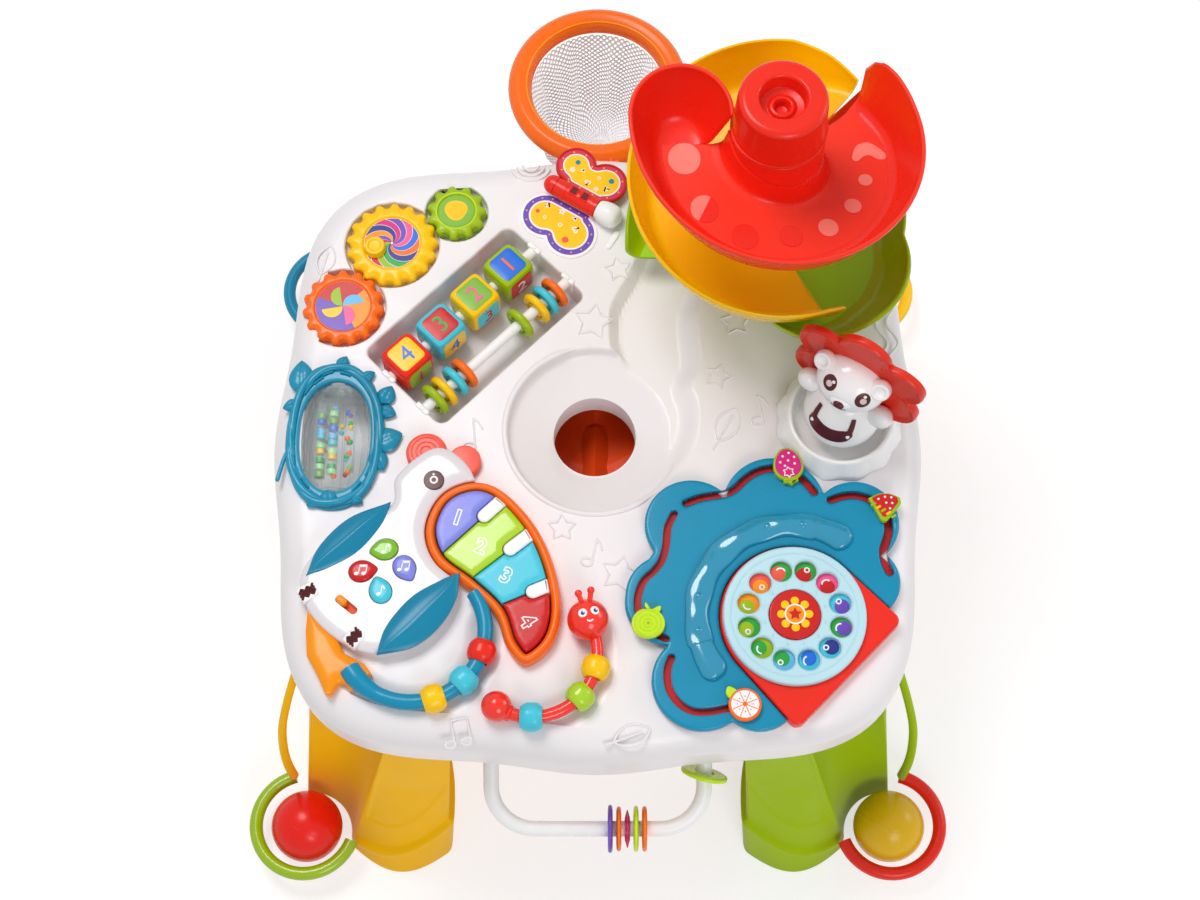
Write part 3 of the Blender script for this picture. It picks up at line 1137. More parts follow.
LOBES = [(59.6, -61.8, 29.8), (112.4, -49.4, 32.7), (163.8, -60.5, 27.5), (166.5, -99.8, 23.5),
         (45, -113, 28), (64.2, -164.2, 31), (99.2, -170.7, 24.6)]
DIAL = np.array((122.3, -123.6))
SLOTS = {
    "berry": [(56.4, -47.7), (64.9, -44.4), (74.1, -42.6), (81.9, -41.2), (87.8, -38.0), (93.9, -31.9),
              (100.5, -27.2), (108.4, -24.4), (117, -24.6), (124.1, -27.0), (131.7, -32.4), (138.0, -40.2)],
    "melon": [(148.4, -45.6), (157.4, -42.8), (166.5, -42.8), (176.2, -47.4), (182.8, -56.1),
              (184.3, -65.3), (182.4, -73.0), (180.2, -79.5), (180.8, -87.1), (183.3, -93.8)],
    "apple": [(48.5, -55.0), (44.5, -63.9), (43.2, -75.2), (40.7, -85.2), (35.8, -92.5), (29.1, -99.2),
              (25.4, -108.5), (25.1, -117.4), (28.6, -126.6), (34.1, -132.5), (42.3, -137.3)],
    "orange": [(45.6, -149.1), (43.0, -157.2), (43.8, -168.4), (49.3, -177.6), (57.9, -183.0),
               (68.3, -183.4), (78, -181.6), (90, -180)]}


def panel_outline(grow=0.0):
    """The lobed plate: the union of its circles, all grown alike, and a filled middle, with the notches
    between lobes softened."""
    rounds = LOBES + [(44.5, -109, 27), (63, -100, 34), (*DIAL, 44)]
    parts = [circle(r + grow, (x, y), 72) for x, y, r in rounds]
    middle = np.array([(50, -60), (60, -130), (64, -170), (99, -180), (125, -175), (166, -115), (165, -60),
                       (112, -40)])
    return softened(union(*parts, onward(middle)), 1.6, 1.2)


def hull(points):
    """The convex outline round points, counter-clockwise from the leftmost one: each step goes to the point
    whose direction turns least to the left of the last step's."""
    at, heading, order = int(np.argmin(points[:, 0])), -math.pi / 2, []
    while at not in order:
        order.append(at)
        d = points - points[at]
        turn = (np.arctan2(d[:, 1], d[:, 0]) - heading) % (2 * math.pi)
        turn[np.linalg.norm(d, axis=1) < 1e-6] = 9
        at = int(np.argmin(turn))
        heading = math.atan2(d[at, 1], d[at, 0])
    return points[order]


def phone_outline():
    """The red base: a rounded hull of the dial's circle and the two corners beside it."""
    corners = [circle(5.5, spot, 40) for spot in ((182, -125.5), (122, -186.5))]
    return evenly(hull(np.vstack([circle(46.3, DIAL, 120), *corners])), 1.5)


class TABLE_OT_phone(bpy.types.Operator):
    """Lobed teal panel with slider slots and handset relief, and the red base under the dial."""
    bl_idname = "table.phone"
    bl_label = "Phone panel"

    def execute(self, context):
        outline, red_edge = panel_outline(), phone_outline()
        slots = [strip(evenly(spline(line, 6, closed=False), 1.5, closed=False), 4.9)
                 for line in SLOTS.values()]
        ends = []
        for line in SLOTS.values():
            ends += [circle(2.45, line[0], 20), circle(2.45, line[-1], 20)]
        holes = []
        for k, body in enumerate(slots):
            body = onward(body)
            holes.append(union(body, ends[2 * k], ends[2 * k + 1]))
        cut = inset(red_edge, -0.5)

        panel = Piece()
        body = joined([outline, cut, *holes], lambda c: inside(c, outline) & ~inside(c, cut)
                      & ~np.any([inside(c, h) for h in holes], axis=0))
        body = [l for l in body if abs(area(l)) > 6]
        main = max(body, key=lambda l: abs(area(l)))
        main = evenly(main, 1.0)
        main = onward(main)
        low, top = H + 2.2, H + 7

        def edge(xy):
            """Rounded outer edge: the plate falls by 1.6 within 2.4 of its outline, as a quarter circle."""
            t = np.clip(1 - depth_in(xy, main) / 2.4, 0, 1)
            return top - 1.7 * (1 - np.sqrt(1 - t * t))
        rims = [inset(main, d) for d in (0.25, 0.7, 1.4, 2.4)]
        slot_rims = [inset(h, -0.6) for h in holes]

        def face(p):
            """The plate's top: its rounded edge, and a small step down at every slot."""
            near = np.min([gap_to(p, h) for h in holes], axis=0)
            return np.minimum(edge(p), top - 0.5 * np.clip(1 - near / 0.6, 0, 1))

        v, f = field(main, holes, rims + slot_rims, NO_SPOTS, face)
        panel.mesh(v, f, "teal")
        z_edge = top - 1.7
        panel.rings(np.array([level(main, z_edge), level(main, low)]), "teal", caps=False)
        for h in holes:
            panel.rings(np.array([level(h, top - 0.5), level(h, low)]), "teal", caps=False)
        panel.mesh(*flat_field(main, holes, low), "teal")
        # handset relief: an arc whose half-width swells at both ends and at the finger grips
        a = np.linspace(52, 220, 170)
        t = np.abs(a - 136) / 84
        grip = 0.5 + 0.5 * np.cos(np.radians((a - 136) * 360 / 28))
        half = 7.6 + 1.6 * np.clip((t - 0.62) / 0.3, 0, 1) ** 2 + 1.1 * grip * (t < 0.72)
        half *= np.sqrt(np.clip(1 - np.clip((t - 0.9) / 0.1, 0, 1) ** 2, 0.01, 1))
        s = np.linspace(0, math.pi, 15)
        across = np.cos(s)[None] * half[:, None]
        tall = (5.0 - 1.3 * grip[:, None] * (t[:, None] < 0.72)) * np.minimum(half / 7, 1)[:, None]
        up = np.sin(s)[None] ** 0.75 * tall
        r = 60.6 + across
        rings = np.stack([DIAL[0] + r * np.cos(np.radians(a))[:, None],
                          DIAL[1] + r * np.sin(np.radians(a))[:, None], top - 0.3 + up], -1)
        base = rings[:, [-1, 0]] - [0, 0, 1.0]
        panel.rings(np.concatenate([rings, base], 1), "teal_gloss")
        lens = np.linspace(62, 210, 8)
        for k in lens:
            spot = polar(60.6, k) + DIAL
            panel.rings(ball(3.4, (*spot, top + 2.6), 20, (1, 1, 0.55)) if k in (lens[0], lens[-1]) else
                        ball(2.4, (*spot, top + 3.2), 16, (1, 1, 0.5)), "teal_gloss")
        panel.make("flower_plate", replaces="flower_panel", slot="teal", sharp=30)

        base = Piece()
        base.slab(panel_outline(-1.8), H + 0.2, H + 2.0, "crimson", 0)
        a = stacked(red_edge, [(0, H + 0.1), (0, H + 6.4), (0.3, H + 7.4), (0.9, H + 8.1), (1.8, H + 8.4)])
        base.rings(a, "red")
        base.rings(lathe(round_profile([(0, H + 8), (16.0, H + 8), (16.0, H + 13.5, 0.8), (0, H + 13.9)]),
                         (*DIAL, 0)), "crimson")
        # centre print: a plain sun with a ring of petals
        for k in range(8):
            base.printed(circle(2.6, DIAL + polar(8.6, 45 * k), 24), H + 13.95, "tower")
        base.printed(circle(6.6, DIAL, 48), H + 14.0, "white")
        base.printed(circle(5.6, DIAL, 48), H + 14.1, "amber")
        base.printed(star(4.4, DIAL, 90, 5, 0.5), H + 14.2, "crimson")
        under = [("coral", "green"), ("crimson", "green"), ("crimson", "pink"), ("purple", "cyan"),
                 ("purple", "green"), ("navy", "cyan"), ("blue", "cyan"), ("green", "sky_print"),
                 ("green", "lime"), ("lime", "green"), ("lime", "amber"), ("amber", "coral")]
        for k, (one, two) in enumerate(under):
            spot = DIAL + polar(29.5, 105 - 30 * k)
            base.printed(circle(6.9, spot, 32), H + 8.4, two, 0.1)
            base.printed(circle(4.8, spot + polar(1.8, 200 + 40 * k), 28), H + 8.5, one, 0.1)
            if k % 2:
                base.printed(circle(1.9, spot + polar(2.2, 30 + 25 * k), 20), H + 8.6, "white", 0.1)
                base.printed(circle(1.0, spot + polar(2.2, 30 + 25 * k), 16), H + 8.7, one, 0.1)
            else:
                base.printed(strip(arc(3.0, 20 + 15 * k, 150 + 15 * k, spot, 10), 1.0), H + 8.6, "white",
                             0.1)
        base.make("phone_base_top", replaces="phone_base", slot="red")
        return {"FINISHED"}


class TABLE_OT_dial(bpy.types.Operator):
    """Pale blue number dial with twelve chamfered finger holes and their figures."""
    bl_idname = "table.dial"
    bl_label = "Dial"

    def execute(self, context):
        dial = Piece()
        low, top, rim = H + 8.8, H + 13.1, 44.7
        holes = [circle(7, DIAL + polar(29.5, 15 + 30 * k), 40) for k in range(12)]
        inner = circle(16.4, DIAL, 72)
        outer = circle(rim, DIAL, 144)

        def height(xy):
            """Flat, with a rounded rim, a 45 degree chamfer at every hole and a slight rise to the middle."""
            r = np.linalg.norm(xy - DIAL, axis=1)
            t = np.clip(1 - (rim - r) / 2.2, 0, 1)
            z = top - 1.9 * (1 - np.sqrt(1 - t * t))
            a = np.degrees(np.arctan2(xy[:, 1] - DIAL[1], xy[:, 0] - DIAL[0])) - 15
            near = DIAL + polar(np.full(len(xy), 29.5), np.round(a / 30) * 30 + 15)
            d = np.linalg.norm(xy - near, axis=1) - 7
            z = z - np.clip(1.0 - d, 0, 1.0)
            return z - 0.6 * np.clip(1 - (r - 16.4) / 0.8, 0, 1)
        lines = [circle(7.4, DIAL + polar(29.5, 15 + 30 * k), 40) for k in range(12)]
        lines += [circle(8.0, DIAL + polar(29.5, 15 + 30 * k), 40) for k in range(12)]
        lines += [circle(q, DIAL, 144) for q in (rim - 0.25, rim - 0.7, rim - 1.3,
                                                 rim - 2.2)] + [circle(17.2, DIAL, 72)]
        dial.mesh(*field(outer, holes + [inner], lines, NO_SPOTS, height), "dial_sky")
        for loop in holes + [inner, outer]:
            dial.rings(np.array([level(loop, height(loop)), level(loop, low)]), "dial_sky", caps=False)
        dial.mesh(*flat_field(outer, holes + [inner], low), "dial_sky")
        ring = level(circle(39.6, DIAL, 120), top)
        dial.rings(sweep(ring, circle(0.45, n=8), closed=True), "dial_sky", loop=True)
        for k in range(12):
            spot = DIAL + polar(19.6, 105 - 30 * k)
            dial.figure(str(k + 1), 3.2, top, "dial_sky", spot, 0, 0.35)
        dial.make("number_dial", "dial", replaces="dial", slot="light_blue", sharp=30)
        return {"FINISHED"}


class TABLE_OT_fruits(bpy.types.Operator):
    """Berry, melon slice, apple and orange sliders of the phone panel."""
    bl_idname = "table.fruits"
    bl_label = "Fruit sliders"

    def execute(self, context):
        low, top = H + 7.6, H + 11.5

        def start(name):
            lo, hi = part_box(name)
            return np.array([(lo.x + hi.x) / 2 * 1000, (lo.y + hi.y) / 2 * 1000 + MID_Y])

        def stem(piece, at, finish):
            piece.rings(lathe([(0, H + 2.6), (2.1, H + 2.6), (2.1, low + 0.6), (0, low + 0.6)], (*at, 0),
                              24), finish)

        at = start("fruit_strawberry")
        berry = Piece()
        stem(berry, at, "lime")
        u = circle(1, n=64)
        egg = np.stack([(9.6 - 1.6 * u[:, 1]) * u[:, 0], 11.2 * u[:, 1] + 1.2], -1)
        crown = turned(star(6.4, (0, 0), 270, 7, 0.72), 0) + (0, -7.2)
        shape = softened(union(egg, crown), 0.8, 0.7)
        berry.slab(turned(shape, 8) + at, low, top, "lime", 1.0, 0.6)
        berry.printed(turned(egg * 0.86 + (0, 0.4), 8) + at, top, "magenta", 0.3)
        for x, y in ((-2.6, 6.4), (1.6, 8.2), (4.6, 5.0), (-4.8, 2.6), (0.4, 3.2), (4.2, 0.6),
                     (-2.2, -0.2)):
            berry.printed(turned(circle(0.8, (x, y), 14), 8) + at, top + 0.3, "white")
        berry.printed(turned(star(4.0, (-0.6, -4.8), 90, 6, 0.66), 8) + at, top + 0.3, "white")
        berry.printed(turned(star(3.0, (-0.6, -4.8), 90, 6, 0.64), 8) + at, top + 0.45, "magenta")
        berry.make("berry_slider", "fruit_strawberry", replaces="fruit_strawberry", slot="magenta")

        at = start("fruit_melon")
        melon = Piece()
        stem(melon, at, "lime")
        wedge = np.array([(-10.6, 3.6), (-4, 7.8), (3, 8.8), (9.6, 7.0), (10.8, 3.0), (6.2, -4.6),
                          (2.4, -10.8), (-0.6, -10.6), (-5, -4.2)])
        wedge = onward(turned(wedge, -8))
        melon.slab(softened(wedge, 1.6, 0.8) + at, low, top, "lime", 1.0, 0.6)
        flesh = softened(wedge * 0.80 + (0.3, 0.9), 1.4, 0.8)
        melon.printed(flesh + at, top, "crimson", 0.3)
        for k in range(5):
            p = np.array((-6.8 + 3.1 * k, 0.6 - 2.0 * k))
            melon.printed(turned(rounded_box(1.5, 3.6, 0.3), -58) + p + at, top + 0.3, "lime" if k % 2 == 0
                          else "tower")
        for x, y in ((-3.4, 4.2), (0.8, 5.6), (4.8, 5.2), (1.4, 1.6), (5.2, 1.4), (3.6, -2.2)):
            melon.printed(circle(0.75, (x, y), 14) + at, top + 0.3, "white")
        melon.make("melon_slider", "fruit_melon", replaces="fruit_melon", slot="red")

        at = start("fruit_apple")
        apple = Piece()
        stem(apple, at, "lime_bright")
        u, v = circle(1, n=72).T
        body = np.stack([10.4 * u * (1 - 0.05 * v), 9.8 * v - 0.9 * np.exp(-((u / 0.35) ** 2)) * (v > 0)],
                        -1)
        leaf_l = spline([(0, 8), (-4.6, 12.6), (-4.2, 9.4)], 6)
        leaf_r = spline([(0, 8), (5.4, 12.2), (5.8, 8.6), (2.4, 7.4)], 6)
        apple.slab(body + at, low, top, "lime_bright", 1.0, 0.6)
        for leaf in (turned(onward(leaf_l), -14), turned(onward(leaf_r), -10)):
            apple.slab(evenly(leaf, 0.5) + at, low, top - 0.5, "lime_bright", 0.4)
        for r in (8.2, 5.4, 2.7):
            apple.rings(sweep(level(circle(r, at + (0, -0.4), 56), top), circle(0.55, n=8), closed=True),
                        "lime_bright", loop=True)
        apple.rings(ball(1.0, (*(at + (0, -0.4)), top), 14, (1, 1, 0.6)), "lime")
        apple.make("apple_slider", "fruit_apple", replaces="fruit_apple", slot="lime")

        at = start("fruit_orange")
        orange = Piece()
        stem(orange, at, "orange")
        leaf = spline([(-3, 7), (-9.5, 11.6), (-11.6, 7.2), (-8.4, 3.6)], 6)
        orange.slab(softened(onward(leaf), 0.8, 0.7) + at, low, top - 0.4, "lime_bright", 0.8, 0.5)
        orange.slab(circle(10.2, n=72) + at, low, top, "orange", 1.0, 0.6)
        orange.printed(circle(8.6, n=64) + at, top, "white", 0.3)
        for k in range(8):
            spoke = 22.5 + 45 * k
            line = np.array([polar(r, spoke) for r in (1.2, 4.6, 8.2)])
            orange.printed(strip(line, 0.5) + at, top + 0.3, "orange", 0.12)
            orange.printed(circle(0.35, polar(4.8, spoke + 22.5), 8) + at, top + 0.3, "brown", 0.1)
        orange.printed(circle(1.5, n=24) + at, top + 0.3, "orange", 0.15)
        orange.make("orange_slider", "fruit_orange", replaces="fruit_orange", slot="orange")
        return {"FINISHED"}


# ---------------------------------------------------------------- gears, blocks and rain drum

def gear_outline(mean, teeth, phase, depth=1.4):
    """Wavy teeth: r(a) = mean + depth cos(n (a - phase)), their crests a little flattened."""
    a = np.arange(teeth * 14) * 360 / (teeth * 14)
    wave = np.cos(np.radians(teeth * (a - phase)))
    return polar(mean + depth * np.tanh(1.6 * wave) / math.tanh(1.6), a), a, wave


def wedge(r0, r1, a0, a1, twist, n=14):
    """A curved wedge between two spirals: the angle grows by twist x (r / r1)."""
    r = np.linspace(r0, r1, n)
    low, high = polar(r, a0 + twist * r / r1), polar(r, a1 + twist * r / r1)
    rim = arc(r1, a0 + twist, a1 + twist, n=6)[1:-1]
    return np.vstack([low, rim, high[::-1]])


class TABLE_OT_gears(bpy.types.Operator):
    """Three meshing gears with dished faces and printed inlays, and the winding knob."""
    bl_idname = "table.gears"
    bl_label = "Gears"

    def execute(self, context):
        for name, (centre, mean, teeth, phase) in GEARS.items():
            gear = Piece()
            finish = {"gear_orange": "orange", "gear_yellow": "tower", "gear_green": "lime"}[name]
            outline, a, wave = gear_outline(mean, teeth, phase)
            inlay = {"gear_orange": 18.4, "gear_yellow": 19.0, "gear_green": 12.4}[name]
            rings = [level(inset(outline, 0.5), H - 6.7), level(outline, H - 6.2), level(outline, H + 0.2)]
            valley = 1 - wave
            top = H + 3.3
            for share, drop in ((0.0, 2.2), (0.10, 1.35), (0.25, 0.7), (0.5, 0.25), (0.8, 0.02)):
                r0 = np.linalg.norm(outline, axis=1)
                r = r0 + (inlay + 1.9 - r0) * share
                fade = max(0.0, 1 - share * 1.5)
                rings.append(level(polar(r - 0.25 * (share == 0), a), top - drop - 0.85 * valley * fade))
            for r, z in ((inlay + 1.5, top), (inlay + 0.9, top - 0.15), (inlay + 0.45, top - 0.6),
                         (inlay, top - 1.3)):
                rings.append(level(polar(np.full(len(a), r), a), z))
            gear.rings(np.array(rings) + (*centre, 0), finish)
            floor = top - 1.3
            if name == "gear_orange":
                gear.printed(circle(inlay - 0.3, centre, 72), floor, "crimson")
                gear.printed(np.vstack([arc(inlay - 0.3, -62, 42, n=26), [(0, 0)]]) + centre, floor + 0.2,
                             "amber", 0.1)
                gear.printed(np.vstack([arc(inlay - 0.3, 158, 298, n=32), [(0, 0)]]) + centre, floor + 0.2,
                             "purple", 0.1)
                for angle, tint in ((10, "sky_print"), (100, "lime"), (190, "tower"), (280, "pink")):
                    half = arc(6.9, 0, 180, (7.2, 0.2), 24)
                    gear.printed(turned(half, angle) + centre, floor + 0.3, tint, 0.15)
            elif name == "gear_yellow":
                gear.printed(circle(inlay - 0.3, centre, 72), floor, "white")
                tints = ["magenta", "navy", "amber", "purple", "crimson", "lime", "green", "navy", "orange",
                         "blue", "pink", "purple"]
                for k, tint in enumerate(tints):
                    shape = wedge(0.8, inlay - 0.5, 30 * k + 1.2, 30 * k + 28.8, 105)
                    gear.printed(shape + centre, floor + 0.2, tint, 0.12)
                knob = round_profile([(0, floor), (7.6, floor, 1.2), (6.9, top + 0.6, 1),
                                      (6.8, H + 7.3, 1.2), (4.6, H + 7.3, 0.8), (3.9, H + 6.5, 0.5),
                                      (0, H + 6.4)])
                gear.rings(lathe(knob, (centre[0] - 11, centre[1] - 4, 0), 56), "tower")
            else:
                gear.rings(sweep(level(circle(inlay + 1.1, centre, 80), top), circle(0.6, n=8),
                                 closed=True), "lime_bright", loop=True)
                gear.printed(circle(inlay - 0.3, centre, 64), floor, "leaf_green")
                t = np.linspace(0, 2 * math.pi, 60, endpoint=False)
                blob = polar(7.6 + 1.6 * np.cos(t - 2.6) ** 3, np.degrees(t)) + (0.8, 0.4)
                gear.printed(blob + centre, floor + 0.2, "tower", 0.12)
                s = np.linspace(0.4, 2.75 * 2 * math.pi, 70)
                coil = polar(0.4 + 5.4 * s / s[-1], np.degrees(s)) + (1.6, 0.2)
                gear.printed(strip(coil, 0.7) + centre, floor + 0.32, "ramp_amber", 0.1)
            gear.make(name + "_wheel", name, replaces=name, slot=SLOT_OF[finish])
        return {"FINISHED"}


def along(u, v):
    """Plan point from the block pocket's own axes, which lie at 45 degrees."""
    return np.stack([(np.asarray(u) - v) / math.sqrt(2), (np.asarray(u) + v) / math.sqrt(2)], -1)


def soft_cube(half=13.0, power=7.0, n=14):
    """A cube whose faces bulge and edges round: each direction d is scaled to
    half / (|x|^p + |y|^p + |z|^p)^(1/p), drawn as six grids that meet at the edges."""
    s = np.tan(np.linspace(-1, 1, n + 1) * math.pi / 4)
    a, b = np.meshgrid(s, s)
    sides = []
    for axis in range(3):
        for sign in (1, -1):
            d = np.zeros((n + 1, n + 1, 3))
            d[..., axis], d[..., (axis + 1) % 3], d[..., (axis + 2) % 3] = sign, a * sign, b
            sides.append(d * (half / (np.abs(d) ** power).sum(-1) ** (1 / power))[..., None])
    return sides


def swelled(x, y, half=13.0, power=7.0):
    """Height of the soft cube's face over its plan point."""
    return (half**power - np.abs(x) ** power - np.abs(y) ** power) ** (1 / power)


class TABLE_OT_blocks(bpy.types.Operator):
    """Turning number blocks, sliding rings and the white rods they sit on."""
    bl_idname = "table.blocks"
    bl_label = "Blocks and rings"

    def execute(self, context):
        z = H - 3
        makes = [("block_1", -50.0, "red", ["tower", "lime", "cyan", "orange"],
                  ["blue", "magenta", "crimson", "purple"], "4123"),
                 ("block_2", -19.2, "cyan", ["crimson", "tower", "lime", "white"],
                  ["green", "blue", "orange", "magenta"], "3412"),
                 ("block_3", 11.6, "tower", ["leaf_green", "cyan", "crimson", "sky_print"],
                  ["pink", "crimson", "tower", "green"], "2341"),
                 ("block_4", 42.4, "lime", ["blue", "crimson", "tower", "magenta"],
                  ["orange", "white", "purple", "lime"], "1234")]
        for name, u, body, grounds, inks, words in makes:
            block = Piece()
            centre = (*along(u, 127.0), z)

            def pose(points, side=0):
                """The face drawn upwards, rolled on about the rod by quarter turns and set at 45 degrees."""
                p = np.asarray(points, float)
                a = math.radians(90 * side)
                y = math.cos(a) * p[..., 1] - math.sin(a) * p[..., 2]
                up = math.sin(a) * p[..., 1] + math.cos(a) * p[..., 2]
                return posed(np.stack([p[..., 0], y, up], -1), centre, 45)
            for grid in soft_cube():
                block.rings(pose(grid), body, wrap=False, caps=False)
            sticker = rounded_box(19, 19, 3.2, n=7)
            for side in range(4):
                rings = [level(sticker, swelled(*sticker.T) - 0.3),
                         level(sticker, swelled(*sticker.T) + 0.12)]
                for s in (0.985, 0.8, 0.55, 0.3, 0.02):
                    p = sticker * s
                    rings.append(level(p, swelled(*p.T) + 0.2))
                block.rings(pose(np.array(rings), side), grounds[side])
                block.figure(words[side], 17, 13.1, inks[side], thick=0.35, pose=lambda q,
                             k=side: pose(q, k))
            for s in (1, -1):
                hub = lathe(round_profile([(3.75, 12.4), (5.4, 12.4), (5.2, 13.4, 0.4), (3.75, 13.4)]),
                            n=32)
                hub = np.stack([hub[..., 2] * s, hub[..., 0], hub[..., 1]], -1)
                block.rings(posed(hub, centre, 45), body, loop=True, caps=False)
            block.make(name + "_cube", name, replaces=name, slot=SLOT_OF[body], sharp=30)

        for name, places in (("rings_low", (-55.5, -47.3, -37.2, -29.0)),
                             ("rings_high", (22.0, 37.6, 45.8, 54.0))):
            group = Piece()
            for u, finish in zip(places, ("lime", "tower", "cyan", "orange")):
                centre = (*along(u, 94.8), z)
                torus = lathe(circle(2.7, (9.05, 0), 20), n=56)
                web = lathe([(3.85, -0.8), (7.2, -0.8), (7.2, 0.8), (3.85, 0.8)], n=40)
                hub = lathe([(3.85, -2.0), (4.9, -2.0), (4.9, 2.0), (3.85, 2.0)], n=40)
                for part in (torus, web, hub):
                    group.rings(posed(part[..., [2, 0, 1]], centre, 45), finish, loop=True, caps=False)
                for k in range(6):
                    spoke = level(rounded_box(3.4, 1.1, 0.3), 0)
                    rings = np.array([spoke - [0, 0, 1.6], spoke + [0, 0, 1.6]]) + (6.2, 0, 0)
                    spun = posed(rings, (0, 0, 0), 60 * k)
                    group.rings(posed(spun[..., [2, 0, 1]], centre, 45), finish)
            group.make(name + "_stack", name, replaces=name, slot="lime")

        rods = Piece()
        for v in (127.0, 94.8):
            ends = np.array([(*along(-67.2, v), z), (*along(67.2, v), z)])
            line = ends[0] + (ends[1] - ends[0]) * np.linspace(0, 1, 9)[:, None]
            rods.rings(sweep(line, circle(3.5, n=32)), "white")
            for u in (-66.6, 66.6):
                box = turned(rounded_box(3.8, 11, 1.2) + (u, v), 45)
                rods.slab(box, H - 12, H + 1.3, "white", 1.0)
                notch = turned(rounded_box(2.4, 3.0, 0.8) + (u, v), 45)
                rods.slab(notch, H + 1.0, H + 2.0, "white", 0.6)
        rods.make("pocket_rods_and_clips", replaces="pocket_rods", slot="white")
        return {"FINISHED"}


def leaf(piece, centre, angle, length, width, z, finish, lift=2.6):
    """A veined leaf: its outline is width x sin(pi s)^0.8 to both sides of a line, sharpened to a point;
    it domes by lift and is creased along the middle, and thin ridges run out as veins."""
    s = np.linspace(0, 1, 25)
    half = width / 2 * np.sin(math.pi * s**0.85) ** 0.75
    rows = []
    for k in np.linspace(-1, 1, 15):
        x = length * (s - 0.5)
        y = k * half
        dome = lift * (1 - k * k) ** 0.6 * np.sin(math.pi * np.clip(s, 0.02, 0.98)) ** 0.5
        crease = 0.55 * np.exp(-((k / 0.14) ** 2)) * (s > 0.03) * (s < 0.97)
        vein = 0.0
        for q in (0.25, 0.42, 0.59, 0.75):
            branch = np.exp(-(((s - q) - 0.14 * abs(k)) / 0.018) ** 2)
            vein = vein + 0.28 * branch * (abs(k) < 0.85) * (abs(k) > 0.1)
        rows.append(np.stack([x, y, dome - crease + vein], -1))
    top = np.array(rows)
    base = top * (1, 1, 0) - (0, 0, 0.4)
    rim = np.concatenate([top, base[::-1]], 0)
    piece.rings(posed(rim, (*centre, z), angle), finish, loop=True, wrap=False, caps=False)


